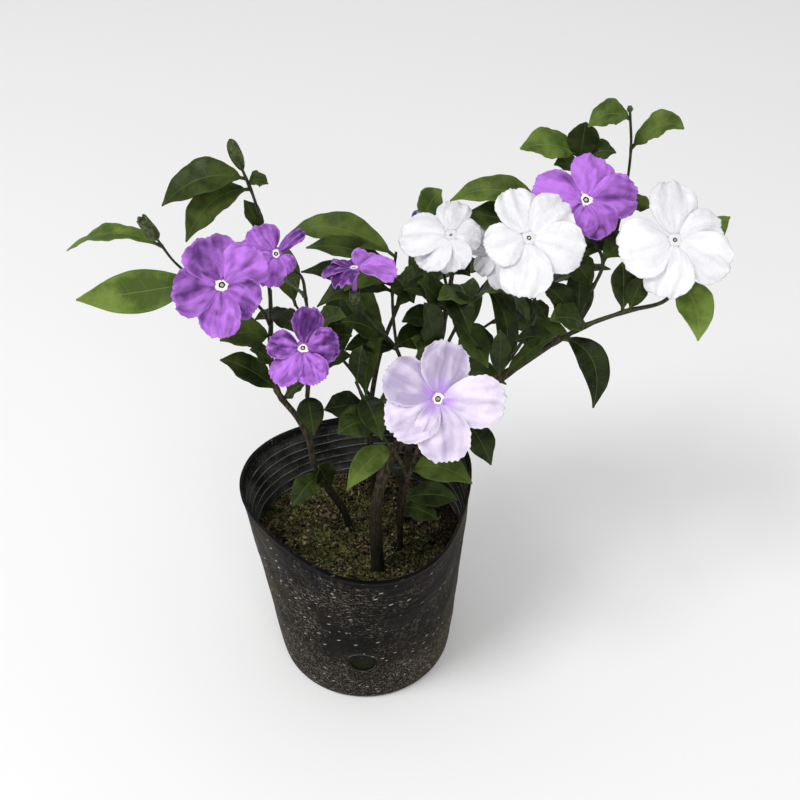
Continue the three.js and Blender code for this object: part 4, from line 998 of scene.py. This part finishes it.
class Surface:
    """One node-based material, and short ways to add its nodes."""

    def __init__(self, name, roughness=0.5, specular=0.5):
        self.made = bpy.data.materials.new(name)
        self.made.use_nodes = True
        self.tree = self.made.node_tree
        self.shader = self.tree.nodes["Principled BSDF"].inputs
        self.shader["Roughness"].default_value = roughness
        self.shader["Specular IOR Level"].default_value = specular
        self.where = self.node("TexCoord", {}, "Object")

    def put(self, socket, value):
        if isinstance(value, Wire):
            self.tree.links.new(value.socket, socket)
        else:
            socket.default_value = value

    def node(self, kind, values, output=0, **settings):
        """A node with these input values and settings, and the wire that leaves it."""
        made = self.tree.nodes.new("ShaderNode" + kind)
        for name, value in settings.items():
            setattr(made, name, value)
        for name, value in values.items():
            self.put(made.inputs[name], value)
        return Wire(self, made.outputs[output])

    def scaled(self, x, y, z):
        return self.node("VectorMath", {0: self.where, 1: (x, y, z)}, operation="MULTIPLY")

    def split(self, vector):
        parts = self.node("SeparateXYZ", {0: vector})
        return parts, parts.beside("Y"), parts.beside("Z")

    def held(self, name):
        return self.split(self.node("Attribute", {}, "Vector", attribute_name=name))

    def joined(self, x, y, z):
        return self.node("CombineXYZ", {0: x, 1: y, 2: z})

    def noise(self, scale, detail=3, roughness=0.5, distortion=0.0, at=None):
        values = {"Vector": at or self.where, "Scale": scale, "Detail": detail}
        return self.node("TexNoise", {**values, "Roughness": roughness, "Distortion": distortion})

    def cells(self, scale, feature="F1", at=None):
        values = {"Vector": at or self.where, "Scale": scale}
        return self.node("TexVoronoi", values, "Distance", feature=feature)

    def maths(self, operation, *values):
        return self.node("Math", dict(enumerate(values)), operation=operation)

    def larger(self, a, b):
        return self.maths("MAXIMUM", a, b)

    def off_whole(self, value):
        """How far a value is from the nearest whole number."""
        return abs(self.maths("FRACT", value + 0.5) - 0.5)

    def step(self, value, low, high, start=0.0, stop=1.0):
        values = {"Value": value, "From Min": low, "From Max": high, "To Min": start, "To Max": stop}
        return self.node("MapRange", values, interpolation_type="SMOOTHSTEP")

    def mix(self, share, a, b):
        """A mix of two colours, each a wire or red, green and blue."""
        a, b = (colour if isinstance(colour, Wire) else tone(*colour) for colour in (a, b))
        return self.node("Mix", {0: share, 6: a, 7: b}, 2, data_type="RGBA")

    def bump(self, height, distance, strength=1.0):
        values = {"Strength": strength, "Distance": distance * METRES, "Height": height}
        self.put(self.shader["Normal"], self.node("Bump", values))

    def finish(self, colour, roughness=None):
        self.put(self.shader["Base Color"], colour)
        if roughness is not None:
            self.put(self.shader["Roughness"], roughness)
        return self.made


def leaf_material():
    s = Surface("leaf_satin", specular=0.12)
    across, along, face = s.held("place")
    painted_brightness, half, _ = s.held("trait")
    outer = abs(across) / s.larger(half, 0.3)
    # Each leaf's greens follow how bright it is painted: painted shade and painted light.
    deep = s.mix(painted_brightness, (6, 9, 2), (76, 98, 36))
    light = s.mix(painted_brightness, (27, 36, 9), (120, 144, 62))
    green = s.mix(s.step(s.noise(70, 4, 0.6), 0.36, 0.66), deep, light)
    green = s.mix(s.step(outer, 0.75, 1.0, 0.0, 0.4), green, light)
    green = s.mix(s.step(along, 0.75, 1.0, 0.0, 0.45), green, light)
    side_vein = s.step(s.off_whole((along - outer * 0.09) * VEIN_COUNT), 0.01, 0.06, 1.0, 0.0)
    side_vein = side_vein * s.step(outer, 0.6, 0.9, 1.0, 0.0) * 0.12
    veins = s.larger(side_vein, s.step(abs(across), 0.12, 0.4, 0.55, 0.0))
    top = s.mix(veins, green, s.mix(painted_brightness, (74, 92, 42), (128, 150, 80)))
    under = s.mix(veins, s.mix(painted_brightness, (52, 68, 34), (112, 136, 82)), (132, 152, 100))
    colour = s.mix(face, under, top)
    colour = s.mix(s.step(along, 0.05, 0.13, 1.0, 0.0), colour, (58, 66, 30))
    colour = s.mix(s.step(s.noise(1200, 2), 0.73, 0.8) * 0.4, colour, (150, 158, 120))
    colour = s.mix(s.step(s.noise(130, 3), 0.66, 0.74, 0.0, 0.3), colour, (96, 84, 44))
    net = s.cells(900, "DISTANCE_TO_EDGE")
    s.bump(s.step(net, 0, 0.12) * 0.4 - veins, 0.12, 0.7)
    gloss = s.step(s.noise(160, 3), 0.3, 0.7, 0.34, 0.48)
    return s.finish(colour, gloss + s.maths("SUBTRACT", 1.0, face) * 0.25)


def stem_material():
    s = Surface("stem_bark", specular=0.25)
    _, age, _ = s.held("place")
    _, _, height = s.split(s.where)
    long = s.noise(900, 4, at=s.scaled(1, 1, 0.22))
    bark = s.mix(s.step(long, 0.35, 0.68), (24, 20, 12), (70, 61, 42))
    young = s.mix(s.step(long, 0.3, 0.7), (28, 30, 14), (58, 63, 30))
    colour = s.mix(s.step(age + long * 0.3, 0.5, 0.85), young, bark)
    # Darker low down, in and by the pot: painted shade there, with some dirt.
    colour = s.mix(s.step(height, 0.1, 0.17, 0.6, 0.0), colour, (26, 23, 14))
    s.bump(long, 0.25, 0.8)
    return s.finish(colour, s.step(age, 0.3, 0.9, 0.45, 0.8))


def calyx_material():
    s = Surface("calyx_green", roughness=0.45, specular=0.35)
    streak = s.noise(500, 3)
    s.bump(streak, 0.12, 0.6)
    return s.finish(s.mix(s.step(streak, 0.35, 0.7), (38, 48, 18), (78, 94, 40)))


WHITE_RING_RADIUS = 3.6

# Petals of each kind: their colour in painted shade, in painted light, at the edge and along the
# veins, how far their painted shading swings, where the edge's colour sets in and how strong the
# veins are. On white petals the edge's colour is a painted shade line along the curled margin.
PETAL_LOOKS = {
    "purple": ((86, 42, 112), (194, 124, 232), (196, 136, 230), (84, 38, 118), 0.26, 0.88, 0.35),
    "lilac": ((174, 162, 192), (240, 229, 249), (244, 238, 251), (172, 128, 212), 0.2, 0.84, 0.3),
    "white": ((204, 204, 210), (241, 241, 244), (214, 212, 220), (206, 204, 214), 0.15, 0.95, 0.12),
}


def petal_material(kind):
    deep, bright, edge, vein, swing, from_rim, strength = PETAL_LOOKS[kind]
    s = Surface(f"petal_{kind}", roughness=0.65, specular=0.2)
    c, along, face = s.held("place")
    painted_brightness, reach, phase = s.held("trait")
    cloud = s.noise(130, 4, 0.6)
    # Broad sweeps and fine crossways creases swing each petal's brightness: painted light and shade of its
    # folds and creases.
    sweep = s.noise(1.5, 1, 0.4, 0.6, at=s.joined(c * 1.5, along * 1.4, phase * 5))
    painted_shading = painted_brightness + s.step(sweep + cloud * 0.15, 0.4, 0.75, -swing, swing)
    crossways = s.noise(1.2, 3, 0.6, 0.8, at=s.joined(c * 4, along * 9, phase))
    painted_shading = painted_shading + s.step(crossways, 0.35, 0.68, -0.18 * swing, 0.18 * swing)
    colour = s.mix(s.maths("MINIMUM", s.larger(painted_shading, 0.0), 1.0), deep, bright)
    # On white petals the edge's colour is darker: a painted shade line along the curled margin.
    rim = s.larger(along, abs(c))
    colour = s.mix(s.step(rim, from_rim, 1.0, 0.0, 0.5), colour, edge)
    streaks = s.noise(1.5, 4, 0.65, 0.4, at=s.joined(c * 9, along * 1.6, phase * 3))
    near = s.step(reach, 4, 12, 1.0, 0.15)
    colour = s.mix(s.step(streaks, 0.5, 0.72) * (near * strength), colour, vein)
    if kind == "lilac":
        middle = s.step(abs(c + cloud * 0.4), 0.15, 0.6, 1.0, 0.35)
        colour = s.mix(s.step(reach, 5, 17, 0.8, 0.0) * middle, colour, (182, 132, 226))
    colour = s.mix(face, s.mix(0.35, colour, edge), colour)
    if kind != "white":
        ring = reach + s.noise(300, 3, 0.6) * 6.0
        halo = s.step(ring, WHITE_RING_RADIUS + 2.6, WHITE_RING_RADIUS + 3.2, 1.0, 0.0)
        colour = s.mix(halo, colour, (248, 246, 250))
    fine = s.noise(2.0, 4, 0.6, at=s.joined(c * 22, along * 3, phase))
    s.bump(fine * 0.5 + (crossways * 1.2 + s.noise(420, 3)), 0.4, 0.8)
    return s.finish(colour)


def plain_material(name, dark, light, scale, roughness, relief):
    s = Surface(name, roughness=roughness, specular=0.3)
    grain = s.noise(scale, 3)
    s.bump(grain, relief, 0.7)
    return s.finish(s.mix(s.step(grain, 0.35, 0.68), dark, light))


def pot_material():
    s = Surface("pot_film_dusty", specular=0.04)
    x, y, z = s.split(s.where)
    normal = s.node("NewGeometry", {}, "True Normal")
    outward = s.node("VectorMath", {0: normal, 1: s.joined(x, y, 0.0)}, "Value", operation="DOT_PRODUCT")
    inner = s.step(outward, -0.005, 0.005, 1.0, 0.0)
    height = z / (POT_HEIGHT * METRES)
    along = s.maths("ARCTAN2", y, x) * 60.0
    across = z / METRES

    def strokes(slant, long, wide):
        """The wall laid flat, turned by the slant in degrees and counted in strokes."""
        cosine, sine = math.cos(math.radians(slant)), math.sin(math.radians(slant))
        down = along * cosine + across * sine
        aside = across * cosine - along * sine
        return s.joined(down / long, aside / wide, slant)

    def flecks(slant, long, wide, share):
        """Short pale strokes, a few of them kept."""
        spots = s.cells(1, at=strokes(slant, long, wide))
        kept = s.maths("LESS_THAN", s.split(spots.beside("Color"))[0], share)
        return s.step(spots, 0.15, 0.4, 1.0, 0.0) * kept

    def fibres(slant, long, wide):
        """Crowded broken strokes."""
        return s.step(s.noise(1, 2, 0.7, at=strokes(slant, long, wide)), 0.6, 0.66)

    cloud = s.noise(40, 4)
    colour = s.mix(s.step(cloud, 0.35, 0.7), (2, 2, 3), (8, 8, 8))
    brown = s.step(s.noise(22, 3), 0.4, 0.62) * s.step(abs(x), 0.0, 0.04)
    colour = s.mix(brown * 0.8, colour, (26, 18, 15))
    # A bluish patch high on the wall: a painted reflection on the glossy plastic.
    blue = s.step(s.noise(26, 2, 0.5, 1.0), 0.44, 0.62) * s.step(height, 0.55, 0.85)
    colour = s.mix(blue * 0.7, colour, (12, 14, 34))
    side = s.step(abs(x), 0.036, 0.052, 0.0, 0.55)
    colour = s.mix(side * s.step(s.noise(34, 3), 0.35, 0.6), colour, (54, 48, 30))
    silt = height + s.noise(60, 4) * 0.5
    low_down = s.step(silt, 0.38, 0.78, 1.0, 0.0)
    colour = s.mix(low_down * 0.25, colour, (40, 36, 26))
    bare_lip = s.step(height, 0.94, 0.97, 1.0, 0.15)
    crowd = s.step(s.noise(38, 4, 0.6), 0.4, 0.6, 0.1, 0.9) * bare_lip
    crowd = s.larger(crowd * s.step(x, 0.0, 0.035, 1.0, 0.45), low_down)
    grit = s.step(s.noise(800, 3, 0.8), 0.55, 0.61) * crowd
    colour = s.mix(grit * s.step(silt, 0.38, 0.78, 0.75, 0.4), colour, (122, 114, 100))
    flat = fibres(6, 3.8, 0.85) * s.step(height, 0.3, 0.6, 0.25, 1.0)
    left = fibres(-58, 3.8, 0.8) * s.step(x, -0.03, 0.005, 1.0, 0.15)
    right = fibres(44, 3.8, 0.85) * s.step(x, 0.0, 0.035, 0.1, 1.0)
    marks = s.larger(flat, s.larger(left, right)) * crowd
    colour = s.mix(marks * 0.75, colour, (158, 152, 140))
    specks = flecks(5, 1.8, 1.5, 0.012) * s.step(height, 0.4, 0.7, 1.0, 0.2)
    bright = s.larger(flecks(22, 4.2, 1.2, 0.045) * bare_lip, specks)
    colour = s.mix(bright * 0.85, colour, (204, 198, 184))
    # Round each drainage hole a dark band, painted shade of a moulded hollow, and above it a pale arc, a
    # painted highlight on its raised ring.
    over_hole = across - (HOLE_HEIGHT + 2.5)
    beside = s.maths("MINIMUM", abs(x), abs(y)) / METRES
    round_hole = s.maths("SQRT", over_hole**2 + beside**2)
    colour = s.mix(s.step(round_hole, HOLE_RADIUS + 0.6, HOLE_RADIUS + 2.0, 0.85, 0.0), colour, (8, 8, 7))
    ring = s.step(abs(round_hole - (HOLE_RADIUS + 2.2)), 0.2, 0.8, 0.4, 0.0)
    colour = s.mix(ring * s.step(over_hole, 3.0, 7.0), colour, (96, 92, 80))
    # Inside, the same black plastic is drawn much lighter: painted light on the inner wall.
    lit_inner_wall = s.mix(s.step(s.noise(60, 4), 0.35, 0.7), (34, 35, 35), (78, 78, 75))
    broken = s.step(s.noise(90, 3, at=s.scaled(1, 1, 6)), 0.35, 0.6, 0.25, 1.0)
    # Pale lines along the ring crests: painted highlights.
    ring = s.step(s.off_whole((across - LOWEST_RING) / RING_PITCH), 0.02, 0.09, 0.85, 0.0)
    lit_inner_wall = s.mix(ring * broken, lit_inner_wall, (160, 160, 154))
    lit_inner_wall = s.mix(s.step(height, 0.95, 0.965), lit_inner_wall, (30, 30, 31))
    lit_inner_wall = s.mix(flecks(8, 2.4, 0.7, 0.25) * 0.45, lit_inner_wall, (150, 148, 140))
    s.bump(s.noise(380, 4) + s.larger(marks, bright), 0.2, 0.6)
    return s.finish(s.mix(inner, colour, lit_inner_wall), s.step(cloud, 0.3, 0.7, 0.5, 0.65) + grit * 0.2)


def soil_material():
    s = Surface("soil_crumbly", roughness=0.93, specular=0.12)
    moss, hue, crumb = s.held("place")
    x, y, z = s.split(s.where)
    grit = s.noise(560, 5, 0.8)
    earth = s.mix(s.step(grit, 0.44, 0.58), (5, 4, 2), (116, 100, 70))
    pale = s.step(s.noise(800, 3, 0.7), 0.57, 0.62)
    earth = s.mix(pale * 0.75, earth, (178, 164, 124))
    stone = s.mix(s.step(hue, 0.4, 0.9), (26, 21, 14), (196, 182, 142))
    earth = s.mix(crumb, earth, s.mix(s.step(grit, 0.35, 0.65), (18, 15, 9), stone))
    green = s.mix(s.step(grit, 0.42, 0.62), (7, 8, 3), (122, 122, 70))
    colour = s.mix(s.step(moss + s.noise(210, 4) * 0.8, 0.72, 1.1), earth, green)
    colour = s.mix(pale * 0.45, colour, (170, 162, 118))
    red = s.step(y, -0.046, -0.036, 1.0, 0.0) * s.step(x, 0.0, 0.016, 1.0, 0.0)
    colour = s.mix(red * 0.55, colour, s.mix(grit, (40, 26, 20), (176, 132, 108)))
    colour = s.mix(s.step(s.noise(110, 4, 0.6), 0.42, 0.6, 0.6, 0.0), colour, (14, 13, 7))
    # Darker towards the right: painted shade.
    colour = s.mix(s.step(x, 0.01, 0.045, 0.0, 0.5), colour, (14, 15, 12))
    colour = s.mix(s.step(z, 0.068, 0.076, 1.0, 0.0), colour, (30, 32, 15))
    s.bump(grit, 1.0, 0.9)
    return s.finish(colour)


def flake_material():
    s = Surface("bark_flakes", roughness=0.85, specular=0.2)
    _, hue, _ = s.held("place")
    grain = s.noise(700, 3)
    colour = s.mix(hue, (48, 38, 27), (178, 158, 122))
    s.bump(grain, 0.2, 0.6)
    return s.finish(s.mix(s.step(grain, 0.3, 0.7, 0.0, 0.45), colour, (70, 52, 34)))


def moss_material():
    s = Surface("moss_shoots", roughness=0.8, specular=0.2)
    _, hue, _ = s.held("place")
    colour = s.mix(s.step(hue, 0.3, 0.9), (16, 19, 9), (150, 150, 96))
    return s.finish(s.mix(s.step(s.noise(300, 3), 0.35, 0.65, 0.0, 0.5), colour, (62, 48, 26)))


def floor_material():
    s = Surface("floor_pale", roughness=0.85, specular=0.1)
    return s.finish((0.94, 0.94, 0.94, 1))


# Assembly


def dress(piece, node):
    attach(piece, "root")
    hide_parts(node)


# Each entry: the twig that ends in it, length, radius and whether it is open
BUDS = (("lift", 18, 3.2, False), ("reach", 14, 3.4, True), ("shoot", 4, 1.4, False), ("peak", 7, 3.2, False))
STEM, LEAF, CALYX, VIOLET_BUD = range(4)


def foliage_piece(stem, materials):
    sheaf = Sheaf()
    twigs = [twig for twig in TWIGS if twig[1] == stem]
    knots = {twig[0]: [] for twig in twigs}
    for i, (twig, from_x, from_y, tip_x, tip_y, depth, width, arch, bow, turn, painted_brightness) in enumerate(LEAVES):
        if twig in knots:
            share = nearest_share(twig, from_x, from_y)
            knots[twig].append(share)
            face = UP + (EYE_BACK - UP) * turn
            root, tip = place_on(twig, share), seen(tip_x, tip_y, depth)
            add_leaf(sheaf, root, tip, width, arch, bow, face, i, painted_brightness, LEAF)
    # Leaves set by rule are painted dark: painted shade within the crown.
    for i, spray in enumerate(SPRAYS):
        if spray[0] in knots:
            for k, leaf in enumerate(spray_leaves(spray, FIRST_SEED + i)):
                add_leaf(sheaf, *leaf, 0.18 + 0.12 * math.sin(5.3 * k + i), LEAF)
    for name, _, grown_from, _, thick, thin, _ in twigs:
        add_stem(sheaf, chains[name], grown_from, (thick, thin), knots[name], STEM)
    for entry in BLOOMS:
        if entry[2] in knots:
            _, facing, foot = bloom_frame(entry)
            add_calyx(sheaf, foot, facing, CALYX)
    for twig, length, radius, is_open in BUDS:
        if twig in knots:
            base, way = chains[twig].straight_at(1), chains[twig].tangent_at(1)
            slot = VIOLET_BUD if twig == "peak" else CALYX
            add_bud(sheaf, base, way, length, radius, is_open, slot)
    return sheaf.make(f"foliage_{stem}", materials)


build_chains()
dress(pot_piece(), "pot")
dress(soil_piece(), "soil")
green_materials = [stem_material(), leaf_material(), calyx_material()]
green_materials.append(plain_material("bud_violet", (44, 36, 84), (128, 122, 168), 420, 0.6, 0.1))
for stem in ("left", "front", "right", "back", "rear"):
    dress(foliage_piece(stem, green_materials), f"leafy_stem_{stem}")

mouth_white = plain_material("mouth_white", (232, 230, 236), (246, 246, 248), 500, 0.6, 0.05)
stigma_pale = plain_material("stigma_pale", (150, 148, 124), (212, 212, 190), 900, 0.6, 0.1)
# The throats are the dark holes of the tubes: their colours are painted shade.
throat_painted_shades = {"purple": (24, 18, 26), "lilac": (74, 62, 30), "white": (92, 88, 76)}
bloom_materials = {}
for kind, shade in throat_painted_shades.items():
    pale = (shade[0] + 34, shade[1] + 30, shade[2] + 26)
    throat = plain_material(f"throat_{kind}", shade, pale, 900, 0.7, 0.1)
    bloom_materials[kind] = [petal_material(kind), mouth_white, throat, stigma_pale]
for i, entry in enumerate(BLOOMS):
    sheaf = Sheaf()
    add_bloom(sheaf, entry, i)
    bloom = sheaf.make(entry[0].replace("bloom", "flower"), bloom_materials[entry[1]])
    dress(bloom, entry[0])

# Floor, light and camera. Places here are in metres.

FLOOR_REACH = 6.0
PLANT_MIDDLE = Vector((0.02, 0, 0.2))
WORLD_STRENGTH = 0.58


def staged(name, data):
    made = bpy.data.objects.new(name, data)
    bpy.context.scene.collection.objects.link(made)
    return made


floor_mesh = bpy.data.meshes.new("floor")
corners = [(x * FLOOR_REACH, y * FLOOR_REACH, 0) for x, y in ((-1, -1), (1, -1), (1, 1), (-1, 1))]
floor_mesh.from_pydata(corners, [], [(0, 1, 2, 3)])
floor_mesh.materials.append(floor_material())
staged("floor", floor_mesh)

world = bpy.data.worlds.new("studio")
world.use_nodes = True
world.node_tree.nodes["Background"].inputs["Color"].default_value = (1, 1, 1, 1)
world.node_tree.nodes["Background"].inputs["Strength"].default_value = WORLD_STRENGTH
bpy.context.scene.world = world


def lamp(name, place, size, watts):
    light = bpy.data.lights.new(name, "AREA")
    light.shape = "DISK"
    light.size = size
    light.energy = watts
    made = staged(name, light)
    made.location = place
    made.rotation_euler = (PLANT_MIDDLE - Vector(place)).to_track_quat("-Z", "Y").to_euler()


lamp("key", (-1.1, -0.8, 2.3), 1.0, 31)
lamp("front", (0.6, -1.9, 1.2), 1.3, 11)

camera = bpy.data.cameras.new("camera")
camera.lens = 50
camera.sensor_width = 36
camera.clip_start = 0.01
holder = staged("camera", camera)
holder.location = Vector(EYE * METRES)
holder.rotation_euler = Matrix(np.stack([EYE_RIGHT, EYE_UP, EYE_BACK], 1).tolist()).to_euler()
bpy.context.scene.camera = holder
bpy.context.scene.view_settings.view_transform = "Standard"
